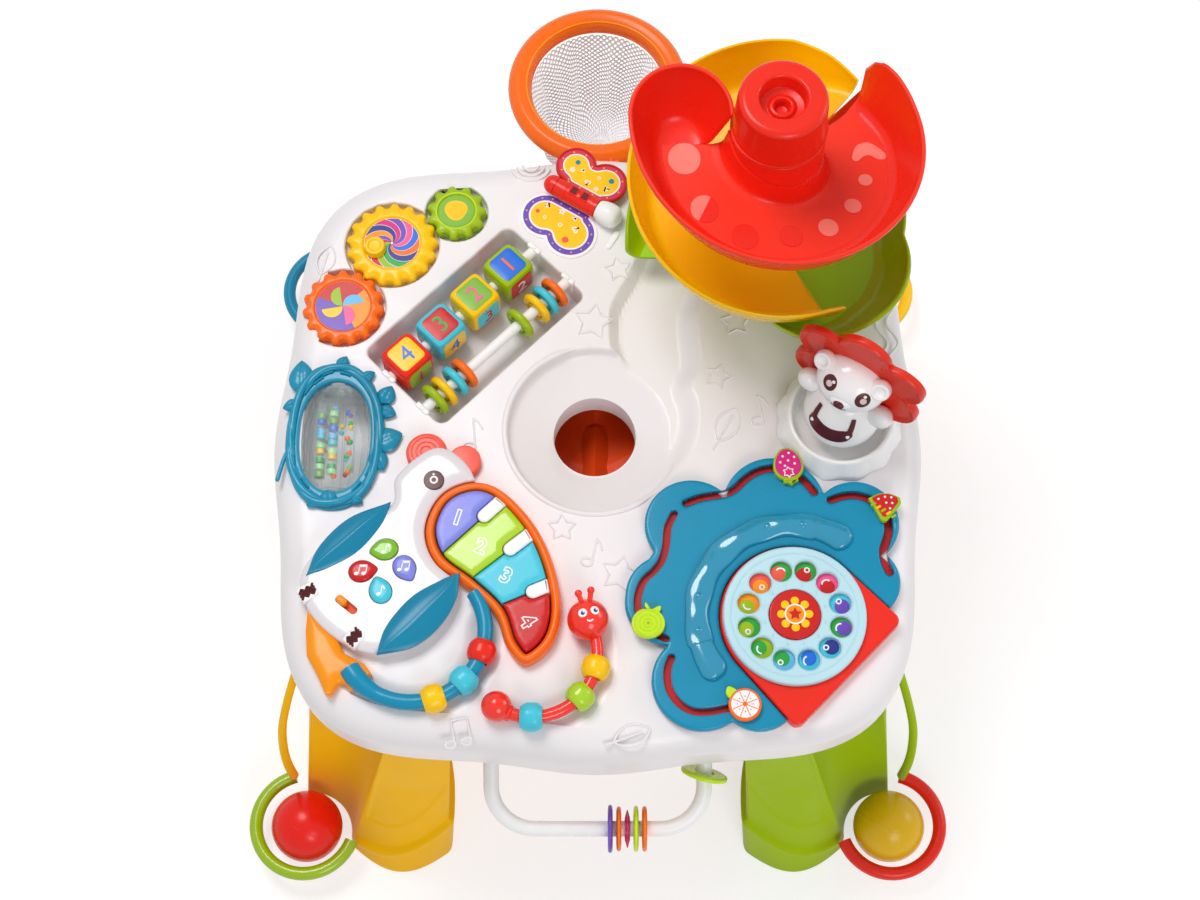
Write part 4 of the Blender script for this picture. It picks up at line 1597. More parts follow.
class TABLE_OT_drum(bpy.types.Operator):
    """Vine-like frame with leaves round the clear rain drum and its small beads."""
    bl_idname = "table.drum"
    bl_label = "Rain drum"

    def execute(self, context):
        mid = np.array((-170.0, 0.0))
        t = np.linspace(0, 2 * math.pi, 160, endpoint=False)
        power = 2.25
        outer = np.stack([31.5 * np.sign(np.cos(t)) * np.abs(np.cos(t)) ** (2 / power),
                          51.5 * np.sign(np.sin(t)) * np.abs(np.sin(t)) ** (2 / power)], -1)
        opening = np.stack([23.2 * np.sign(np.cos(t)) * np.abs(np.cos(t)) ** 0.92,
                            38.6 * np.sign(np.sin(t)) * np.abs(np.sin(t)) ** 0.86], -1)
        vine = Piece()
        base = [outer * 0.985, outer * 0.985, outer * 0.95, opening * 1.06, opening, opening * 0.995]
        heights = [H + 0.2, H + 2.0, H + 3.0, H + 3.2, H + 2.2, H - 3.0]
        rings = np.array([level(p + mid, q) for p, q in zip(base, heights)])
        back = level(opening * 1.05 + mid, H - 3.0)
        vine.rings(np.concatenate([rings, [back, level(outer * 0.9 + mid, H + 0.2)]]), "vine", loop=True,
                   caps=False)
        for n, phase, wide, thick, reach_out in ((3, 0.3, 2.3, 2.7, 0.62), (3, 2.4, 2.3, 2.5, 0.62),
                                                 (5, 4.4, 1.8, 1.8, 0.55), (2, 1.2, 3.3, 1.5, 0.6)):
            share = reach_out + 0.055 * wide * np.cos(n * t + phase)
            path = opening * 1.05 * (1 - share[:, None]) + outer * share[:, None] * 0.99
            z = H + 3.1 + 1.1 * np.sin(n * t + phase)
            vine.rings(sweep(level(path + mid, z), circle(thick, n=12), closed=True), "vine", loop=True)
        for k in range(16):
            start = 2 * math.pi * (k + 0.37 * math.sin(5 * k)) / 16
            share = 0.35 + 0.3 * ((k * 7) % 5) / 5
            seg = start + np.array([0, 0.1, 0.22])
            o = np.stack([31 * np.cos(seg), 51 * np.sin(seg)], -1) * (0.80 + 0.15 * share)
            vine.rings(tube(level(o + mid, H + 4.4 + 0.4 * math.sin(k)), 0.8, n=8, ends=3), "vine")
        for x, y, angle, long, wide in ((-23.5, 41, 93, 24, 17), (-29, 21, 200, 12, 9.5),
                                        (3, 51.5, 60, 10, 9), (32.5, 28.5, 62, 14, 12.5),
                                        (33.5, 16.5, -20, 12, 10), (34.5, -2.6, 24, 20, 17),
                                        (29.0, -17.5, -62, 15, 13),
                                        (-2, -44, -80, 13, 12), (20, 42, 30, 10, 8), (-12, -46, 215, 9, 8),
                                        (16, -44, -30, 9, 8)):
            leaf(vine, mid + (x, y), angle, long, wide, H + 2.6, "vine")
        twig = spline([(-27, -8), (-31, -14), (-33.5, -22), (-35.5, -30)], 6, closed=False)
        vine.rings(tube(level(twig + mid, np.linspace(H + 3.5, H + 1.6, len(twig))), 1.5, n=10), "vine")
        vine.make("vine_frame", replaces="drum_frame", slot="teal")

        drum = Piece()
        y = np.linspace(-36.2, 36.2, 25)
        r = 22.2 * (1 - 0.36 * np.abs(y / 36.5) ** 2.2)
        facets = circle(1.0, n=10, start=18)
        wall = np.array([np.stack([facets[:, 0] * q, np.full(10, v), facets[:, 1] * q], -1) for v,
                         q in zip(y, r)])
        drum.rings(wall + (*mid, DRUM_Z), "clear")
        for k in range(10):
            edge = np.stack([facets[k, 0] * (r - 0.1), y, facets[k, 1] * (r - 0.1)], -1) + (*mid, DRUM_Z)
            drum.rings(sweep(edge, circle(0.35, n=6), up=(1, 0.01, 0)), "clear_rib")
        for v in (-36.4, 36.4):
            cap = lathe(round_profile([(0, 0), (14.4, 0), (14.4, 2.2, 0.8), (0, 2.2)]), n=40)
            flat = cap[..., [0, 2, 1]] * (1, 1 if v < 0 else -1, 1)
            drum.rings(flat + (mid[0], mid[1] + v, DRUM_Z), "clear_rib")
        for v in (-39.2, 36.3):
            pin = lathe([(0, 0), (2.9, 0), (2.9, 2.9), (0, 2.9)], n=20)
            drum.rings(pin[..., [0, 2, 1]] + (mid[0], v, DRUM_Z), "white")
        tints = ["leaf_green", "pale_green", "green", "tower", "pale_green", "cyan", "sky_print", "blue"]
        for col, (x, depth) in enumerate(((-9.6, 12.4), (-1.6, 15.4), (8.8, 12.8))):
            tube_wall = lathe([(3.5, -27 + 2 * col), (3.5, 24 - 3 * col)], n=14)
            drum.rings(tube_wall[..., [0, 2, 1]] + (mid[0] + x, 0, DRUM_Z + depth - 3),
                       "clear_rib", caps=False)
            for k in range(9):
                at = -24.5 + 5.1 * k + 1.3 * math.sin(3 * k + col)
                if col == 2:
                    drum.rings(ball(1.9, (mid[0] + x + 1.2 * math.sin(2.2 * k), at, DRUM_Z + depth - 1),
                                    12),
                               ["orange", "leaf_green", "green", "orange", "green", "orange", "tower",
                                "green", "blue"][k])
                else:
                    bead = lathe([(0, -1.7), (2.8, -1.7), (2.8, 1.7), (0, 1.7)], n=14)
                    drum.rings(bead[..., [0, 2, 1]] + (mid[0] + x, at, DRUM_Z + depth - 3),
                               tints[(k + col) % 8])
        for k in range(14):
            a = 2.4 * k
            drum.rings(ball(1.8, (mid[0] + 9 * math.sin(a), -26 + 3.9 * k,
                                  DRUM_Z + 6 + 5 * math.cos(1.7 * a)), 12),
                       ["orange", "crimson", "green", "cyan", "tower"][k % 5])
        drum.make("rain_barrel", "rain_drum", replaces="rain_drum", slot="clear", sharp=20)
        return {"FINISHED"}


# ---------------------------------------------------------------- bird, its buttons and piano keys

BIRD = spline([(-104, -11), (-84, -22), (-77, -44), (-84, -80), (-88, -108), (-104, -134), (-133, -148),
               (-157, -141), (-177, -124), (-186, -103), (-180, -85), (-158, -62), (-131, -50),
               (-128, -30)], 10)
KEYS = spline([(-81, -34.5), (-62, -39), (-41, -61), (-28, -88), (-22.5, -118), (-28, -141), (-44, -154),
               (-56, -143), (-64, -122), (-81, -105), (-102, -88), (-109, -66), (-100, -44)], 10)
KEY_CUTS = [((-81.7, -67.9), -46), ((-64, -87.7), -51), ((-49.6, -112.2), -67)]
BUTTONS = {"button_green": ((-133.1, -80.9), "green_key", 190, "one"),
           "button_red": ((-147.5, -95.3), "crimson", 10, "two"),
           "button_blue": ((-120.8, -92.7), "violet", 300, "two"),
           "button_cyan": ((-135.1, -108.4), "cyan", 110, "one")}
SWITCH = ((-156, -117), -39)


def onward(loop):
    """The same outline, counter-clockwise."""
    return loop if area(loop) > 0 else loop[::-1]


def dome(piece, outline, foot, edge, rise, roll, finish, holes=(), step=2.2, shape=None):
    """A plate with a swelling top: at distance d inside its outline the top is
    edge + rise sqrt(1 - (1 - min(d / roll, 1))^2); its wall goes straight down to foot."""
    outline = onward(outline)
    holes = [onward(h) for h in holes]
    low, high = outline.min(0), outline.max(0)
    x, y = np.meshgrid(np.arange(low[0], high[0], step), np.arange(low[1], high[1], step))
    spots = np.stack([x.ravel(), y.ravel()], -1)
    spots = spots[depth_in(spots, outline) > 1.9]
    for hole in holes:
        spots = spots[depth_in(spots, hole) < -0.7]

    def height(xy):
        t = 1 - np.clip(depth_in(xy, outline) / roll, 0, 1)
        z = edge + rise * np.sqrt(np.maximum(1 - t * t, 0))
        return z if shape is None else shape(xy, z)
    rims = [inset(outline, d) for d in (0.2, 0.6, 1.2)]
    piece.mesh(*field(outline, holes, rims, spots, height), finish)
    for loop in [outline, *holes]:
        piece.rings(np.array([level(loop, height(loop)), level(loop, foot)]), finish, caps=False)
    piece.mesh(*flat_field(outline, holes, foot), finish)
    return height


def wing(piece, one, two, z, lift, finish):
    """A swelling leaf between two edges that meet at both tips: across it the height is
    z + lift (1 - |v|^2.4) s, with s = sin(pi u)^0.45 along it, and a soft ridge in the middle."""
    u = np.linspace(0, 1, 41)[None, :]
    v = np.linspace(-1, 1, 23)[:, None]
    a, b = (evenly(spline(e, 8, closed=False), 1.0, closed=False) for e in (one, two))
    a, b = (np.stack([np.interp(u[0], np.linspace(0, 1, len(e)), e[:, k]) for k in (0, 1)], -1)
            for e in (a, b))
    plan = a * (1 - v[..., None]) / 2 + b * (1 + v[..., None]) / 2
    s = np.sin(math.pi * np.clip(u, 0.004, 0.996)) ** 0.45
    top = z + lift * (1 - np.abs(v) ** 2.4) * s + 0.9 * np.exp(-np.abs(v - 0.05) / 0.12) * s
    foot = np.full(top.shape, z - 2.0)
    sheet = np.concatenate([np.concatenate([plan, top[..., None]], -1),
                            np.concatenate([plan, foot[..., None]], -1)[::-1]])
    piece.rings(sheet, finish, loop=True, wrap=False, caps=False)


def note(place, angle, size, double):
    """A small music note: an oval head, a stem and a flag; or two heads joined by a beam."""
    def head(at):
        t = np.arange(20) * math.pi / 10
        return turned(np.stack([1.25 * np.cos(t), 0.95 * np.sin(t)], -1), 25) + at
    if double:
        parts = [head((-2.2, -2.2)), head((1.6, -1.6)), strip(np.array([(-1.1, -2.1), (-1.1, 2.4)]), 0.6),
                 strip(np.array([(2.7, -1.5), (2.7, 3.0)]), 0.6),
                 strip(np.array([(-1.4, 2.2), (3.0, 2.9)]), 1.3)]
    else:
        parts = [head((-0.6, -2.2)), strip(np.array([(0.55, -2.1), (0.55, 3.0)]), 0.6),
                 strip(np.array([(0.5, 2.8), (1.6, 2.0), (2.3, 0.9)]), 0.9)]
    return [turned(onward(p) * size, angle) + place for p in parts]


def button_outline(turn, grow=0.0):
    """Leaf-like button: r = 7.5 + 1.8 e^(-(angle / 22)^2) towards its tip, a little flattened beside it."""
    a = np.arange(72) * 5.0
    off = (a - turn + 180) % 360 - 180
    r = 7.4 + 1.9 * np.exp(-((off / 20) ** 2)) + 0.5 * np.cos(np.radians(2 * off))
    return polar(r + grow, a)


class TABLE_OT_bird(bpy.types.Operator):
    """Glossy white bird with comb, wings, tail, feet and eye."""
    bl_idname = "table.bird"
    bl_label = "Bird"

    def execute(self, context):
        body = Piece()
        key_edge = inset(onward(KEYS), -0.3)
        way = onward(strip(ARC_LINE, 19.5))
        outline = joined([BIRD, key_edge, way],
                         lambda p: inside(p, BIRD) & ~inside(p, key_edge) & ~inside(p, way))[0]
        outline = evenly(onward(outline), 1.4)
        holes = [button_outline(turn, 0.45) + centre for centre, _, turn, _ in BUTTONS.values()]
        slot = turned(rounded_box(16.6, 5.4, 2.6), SWITCH[1]) + SWITCH[0]
        holes.append(slot)
        dome(body, outline, H + 0.2, H + 8.2, 3.9, 7.0, "bird_white", holes)
        for hole in holes[:4]:
            body.slab(inset(onward(hole), -0.2), H + 1.0, H + 4.2, "slot_dark", 0)
        body.slab(inset(onward(slot), -0.2), H + 1.0, H + 8.0, "slot_orange", 0)
        body.make("bird_body", replaces="bird_housing", slot="white", sharp=30)

        trim = Piece()
        for x, y, r, rings in ((-110, -13.0, 13.2, True), (-85.5, -18.5, 10.6, False)):
            profile = [(0, H + 6.6), (r - 1.6, H + 6.6), (r - 0.5, H + 6.2), (r, H + 5.0), (r, H + 0.3),
                       (0, H + 0.3)]
            if rings:
                groove = []
                for g in (3.4, 6.4, 9.4):
                    groove += [(g - 0.55, H + 7.4), (g - 0.2, H + 6.6), (g + 0.2, H + 6.6),
                               (g + 0.55, H + 7.4)]
                profile = [(0, H + 7.4)] + groove + [(r - 1.9, H + 7.4), (r - 0.7, H + 6.9), (r, H + 5.6),
                                                     (r, H + 0.3), (0, H + 0.3)]
            trim.rings(lathe(profile[::-1], (x, y, 0), 64), "coral")
        # wings, each between its upper and its lower edge
        wing(trim, [(-182, -98), (-175, -79), (-157, -60), (-131, -49)],
             [(-182, -98), (-168, -93), (-150, -82), (-136, -64), (-131, -49)], H + 12.0, 3.4, "ocean")
        wing(trim, [(-136, -149), (-131, -131), (-116, -112), (-98, -101), (-86, -96)],
             [(-136, -149), (-114, -144), (-98, -131), (-88, -113), (-86, -96)], H + 12.0, 3.4, "ocean")
        tail = [(-181, -116), (-172, -126), (-163, -134), (-157, -146), (-144, -153), (-139.5, -159),
                (-141, -161.5), (-147.5, -161),
                (-149, -163), (-149.5, -169), (-152.5, -169.8), (-156, -165), (-159, -165.5),
                (-164, -173.5), (-167, -173), (-173, -160), (-180, -148), (-181.5, -132)]
        dome(trim, softened(onward(np.array(tail, float)), 1.0, 0.9), H + 0.3, H + 4.4, 4.4, 7.0, "amber")
        # feet: white clips with a zigzag of dark brown
        for x, y, turn in ((-180.5, -108.8, -60), (-150.2, -138.0, -40)):
            trim.slab(turned(rounded_box(10.5, 12.5, 2.2), turn) + (x, y), H + 8, H + 13.2, "white", 1.4)
            for k in range(3):
                zig = np.array([(-4.8, -3.4), (-2.9, -1.2), (-0.9, -3.4), (1.1, -1.2), (3.0, -3.4),
                                (4.8, -1.2)]) + (0, 0.2 + 2.0 * k)
                path = turned(zig, turn + 90) + (x, y)
                trim.rings(tube(level(evenly(path, 1.0, closed=False), H + 13.3), 0.85, n=8, ends=3),
                           "brown")
        # eye: a dark disc, a pale ring in it and a small light
        eye = (-104.1, -34.4)
        z = H + 11.9
        trim.rings(lathe(round_profile([(0, z - 1), (6.6, z - 1), (6.6, z + 0.7, 0.6), (0, z + 0.9)]),
                         (*eye, 0), 48), "brown")
        trim.rings(lathe([(1.5, z + 0.7), (2.7, z + 0.7), (2.6, z + 1.1), (1.6, z + 1.1)], (*eye, 0), 32),
                   "white", loop=True)
        trim.printed(circle(0.75, np.array(eye) + (-0.3, 3.8), 16), z + 0.8, "white")
        trim.make("bird_trim_set", replaces="bird_trim", slot="teal")

        for name, (centre, finish, turn, kind) in BUTTONS.items():
            button = Piece()
            outline = button_outline(turn) + centre
            dome(button, outline, H + 6.2, H + 12.4, 2.2, 3.4, finish, step=1.2)
            for loop in note(centre, -8, 1.18, kind == "two"):
                button.printed(loop, H + 14.45, "white", 0.4)
            button.make(name + "_cap", name, replaces=name,
                        slot="blue" if finish == "violet" else SLOT_OF[finish])

        knob = Piece()
        lo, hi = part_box("switch_knob")
        mid = np.array([(lo.x + hi.x) * 500, (lo.y + hi.y) * 500 + MID_Y])
        knob.slab(turned(rounded_box(7.4, 5.0, 2.4), SWITCH[1]) + mid, H + 8.4, H + 15.3, "amber", 1.6)
        for k in (-1.6, 0, 1.6):
            bar = turned(rounded_box(0.6, 3.6, 0.28) + (k, 0), SWITCH[1]) + mid
            knob.slab(bar, H + 15.0, H + 15.7, "amber", 0.3)
        knob.make("switch_slider", "switch_knob", replaces="switch_knob", slot="orange")
        return {"FINISHED"}


class TABLE_OT_keys(bpy.types.Operator):
    """Orange key frame with its white half keys, and the four coloured piano keys."""
    bl_idname = "table.keys"
    bl_label = "Piano keys"

    def execute(self, context):
        outer = evenly(onward(KEYS), 1.2)
        frame_piece = Piece()
        profile = [(0.6, H + 0.3), (0, H + 1.0), (0, H + 5.2)]
        profile += [(3.3 - 3.3 * math.cos(t), H + 5.2 + 5.9 * math.sin(t))
                    for t in np.linspace(0.12, math.pi, 14)[:-1]]
        profile += [(6.6, H + 5.2), (6.6, H + 3.0)]
        frame_piece.rings(stacked(outer, profile), "orange", caps=False)
        well = inset(outer, 6.6)
        frame_piece.slab(inset(outer, 6.2), H + 0.3, H + 2.8, "slot_dark", 0)

        def line(k, gap=0.0):
            """A wide box on the far side of a cut, shifted along the cut's normal."""
            at, turn = KEY_CUTS[k]
            box = np.array([(gap, -120), (240, -120), (240, 120), (gap, 120)], float)
            return turned(box, turn) + at
        # white half keys lie on the cuts, from the frame's right side inwards
        halves = []
        for k, (at, turn) in enumerate(KEY_CUTS):
            along_cut = polar(1.0, turn + 90)
            reach_out = np.arange(0, 60, 0.25)[:, None] * along_cut + at
            out = reach_out[inside(reach_out, well)][-1]
            far = out + along_cut * 2
            near = out - along_cut * (14.5, 15.5, 10.5)[k]
            body = strip(np.array([near, far]), 8.8)
            halves.append(union(onward(body), circle(4.4, near, 28)))
        for half in halves:
            half = onward(half)
            clipped = joined([half, well], lambda p: inside(p, half) & inside(p, well))[0]
            frame_piece.slab(evenly(onward(clipped), 0.9), H + 3.0, H + 12.6, "white", 1.6)
        frame_piece.make("key_frame_rim", replaces="key_frame", slot="orange")

        finishes = ["violet", "lime_key", "cyan", "crimson"]
        marks = [(-88.3, -59.5), (-73.0, -78.5), (-57.0, -98.0), (-43.0, -127.5)]
        inner = inset(well, 0.5)
        for k, finish in enumerate(finishes):
            near = line(k - 1, 0.3) if k else None
            far = line(k, -0.3) if k < 3 else None
            blocks = [inset(onward(h), -0.55) for h in halves]
            loops = [inner] + [l for l in (near, far) if l is not None] + blocks

            def keep(p):
                ok = inside(p, inner)
                if near is not None:
                    ok &= inside(p, near)
                if far is not None:
                    ok &= ~inside(p, far)
                return ok & ~np.any([inside(p, b) for b in blocks], axis=0)
            shape = evenly(onward(joined(loops, keep)[0]), 0.9)
            piece = Piece()
            dome(piece, softened(shape, 0.7, 0.9), H + 5.2, H + 10.6, 1.9, 2.6, finish, step=1.8)
            # plain figures with a broad light outline under them
            word = str(k + 1)
            z = H + 12.35
            angle = 44 + (0, -5, -10, -40)[k] - 90 + 30
            piece.figure(word, 13.5, z, "white", marks[k], angle, 0.25, swell=0.9)
            piece.figure(word, 13.5, z + 0.2, finish, marks[k], angle, 0.3)
            name = f"key_{k + 1}"
            piece.make(f"piano_key_{k + 1}", name, replaces=name,
                       slot=SLOT_OF[finish], sharp=30)
        return {"FINISHED"}


# ---------------------------------------------------------------- bead rails

def barrel(length, r, bore, n=44):
    """A chamfered bead on its own axis: straight in the middle, drawn in at both ends."""
    h = length / 2
    side = round_profile([(bore, -h), (r - 2.6, -h, 0.8), (r, -h + 3.4, 2.2), (r, h - 3.4, 2.2),
                          (r - 2.6, h, 0.8), (bore, h)], 5)
    return lathe(side, n=n)


def on_rail(points, centre, rail, angle, z):
    """Puts a piece whose axis is its Z onto a ring rail: its axis lies along the ring at the angle."""
    p = np.asarray(points, float)
    lying = p[..., [0, 2, 1]]
    return posed(lying, (*(polar(rail, angle) + centre), z), angle)


class TABLE_OT_beads(bpy.types.Operator):
    """Two bowed bead rails: the teal one under the bird, and the red worm with its head and tail ball."""
    bl_idname = "table.beads"
    bl_label = "Bead rails"

    def execute(self, context):
        rails = Piece()
        centre, worm = np.array((-114.7, -132.7)), np.array((-40.1, -147.1))
        path = level(arc(45, -148, 34, centre, 100), H + 7)
        swell = 5 + 1.6 * np.clip((-118 - np.linspace(-148, 34, 100)) / 20, 0, 1)
        rails.rings(sweep(path, circle(1.0, n=28), size=swell), "teal")
        path = level(arc(40, -123, 31.3, worm, 90), H + 7.5)
        rails.rings(sweep(path, circle(4.0, n=24)), "worm_red")
        head = np.array((*(polar(40, 31.3) + worm), H + 10.5))
        rails.rings(ball(13, head, 64), "worm_red")
        rails.rings(ball(9.5, (*(polar(40, -123) + worm), H + 8.5), 48), "worm_red")
        collar = lathe(round_profile([(3.9, -1.6), (5.4, -1.4, 0.5), (5.0, 2.2, 0.8), (3.9, 2.6)]), n=28)
        rails.rings(on_rail(collar, worm, 40, -111.5, H + 7.5), "worm_red", caps=False, loop=True)
        # feelers: two short stalks that lean back from the top of the head
        for lean, out in ((112, 16.0), (84, 17.0)):
            a = head + np.array((*polar(10.5, lean), 6.0))
            b = head + np.array((*polar(out, lean), 7.4))
            rails.rings(tube(np.linspace(a, b, 5), 1.7, n=14), "worm_red")
            rails.rings(ball(2.4, b, 18), "worm_red")
        # face: eyes of white, dark and a light, and a small white smile, lying on the ball
        def on_head(x, y, r, finish, out=0.0):
            d = np.array((x, y, 1.0))
            d /= np.linalg.norm(d)
            side = np.cross(d, (0, 1, 0))
            side /= np.linalg.norm(side)
            up = np.cross(side, d)
            disc = []
            for q, lift in ((1.0, 0.0), (0.97, 0.25), (0.6, 0.35), (0.02, 0.4)):
                a = np.arange(24) * math.pi / 12
                rim = r * q * (np.cos(a)[:, None] * side + np.sin(a)[:, None] * up)
                spot = d * 13 + rim
                spot /= np.linalg.norm(spot, axis=1, keepdims=True)
                disc.append(head + spot * (13.0 + lift + out))
            rails.rings(np.array(disc), finish)
        for x in (-0.26, 0.36):
            on_head(x, 0.06 + 0.16 * (x > 0), 2.9, "white")
            on_head(x + 0.02, 0.04 + 0.16 * (x > 0), 1.25, "navy", 0.35)
            on_head(x + 0.05, 0.09 + 0.16 * (x > 0), 0.5, "white", 0.5)
        smile = []
        for a in np.linspace(225, 330, 9):
            d = np.array((0.10 + 0.16 * math.cos(math.radians(a)), -0.22 + 0.13 * math.sin(math.radians(a)),
                          1.0))
            smile.append(head + d / np.linalg.norm(d) * 13.1)
        rails.rings(tube(np.array(smile), 0.55, n=8, ends=3), "white")
        rails.make("bead_rail_pair", replaces="bead_rails", slot="teal")

        for name, hub, rail, z, bore, spots in (
                ("arc_beads", centre, 45, H + 7, 5.3, ((-71.6, "tower"), (-44, "cyan"), (-16.9, "red"))),
                ("worm_beads", worm, 40, H + 7.5, 4.3, ((-13.2, "tower"), (-42.6, "lime_key"),
                                                        (-90.7, "cyan")))):
            beads = Piece()
            for angle, finish in spots:
                beads.rings(on_rail(barrel(14, 9.0, bore), hub, rail, angle, z), finish, loop=True,
                            caps=False)
            beads.make(name + "_set", name, replaces=name, slot="yellow")
        return {"FINISHED"}


# ---------------------------------------------------------------- bear in its cup, and butterfly

BEAR, BEAR_TURN = np.array((156.6, 10.0)), -31.5
FLY, FLY_TURN = np.array((-14.0, 171.5)), -31.6


def on_ball(piece, centre, r, toward, outline, finish, lift=0.25, stretch=(1, 1, 1)):
    """Lays a flat outline on a ball: the outline stands on the tangent plane where the ball faces toward,
    and every point is drawn back to the ball along its radius, then raised by lift."""
    d = np.array(toward, float)
    d /= np.linalg.norm(d)
    side = np.cross((0, 0, 1), d)
    side /= np.linalg.norm(side)
    up = np.cross(d, side)
    mid = outline.mean(0)
    rings = []
    for share, out in ((1.0, -0.3), (1.0, lift * 0.6), (0.96, lift), (0.7, lift), (0.4, lift),
                       (0.02, lift)):
        p = mid + (outline - mid) * share
        q = d * r + p[:, :1] * side + p[:, 1:] * up
        q /= np.linalg.norm(q, axis=1, keepdims=True)
        rings.append(np.asarray(centre) + q * (r + out) * np.array(stretch))
    piece.rings(np.array(rings), finish)


def oval(a, b, turn=0.0, centre=(0, 0), n=28):
    """An ellipse of half axes a and b, turned."""
    t = np.arange(n) * 2 * math.pi / n
    return turned(np.stack([a * np.cos(t), b * np.sin(t)], -1), turn) + centre


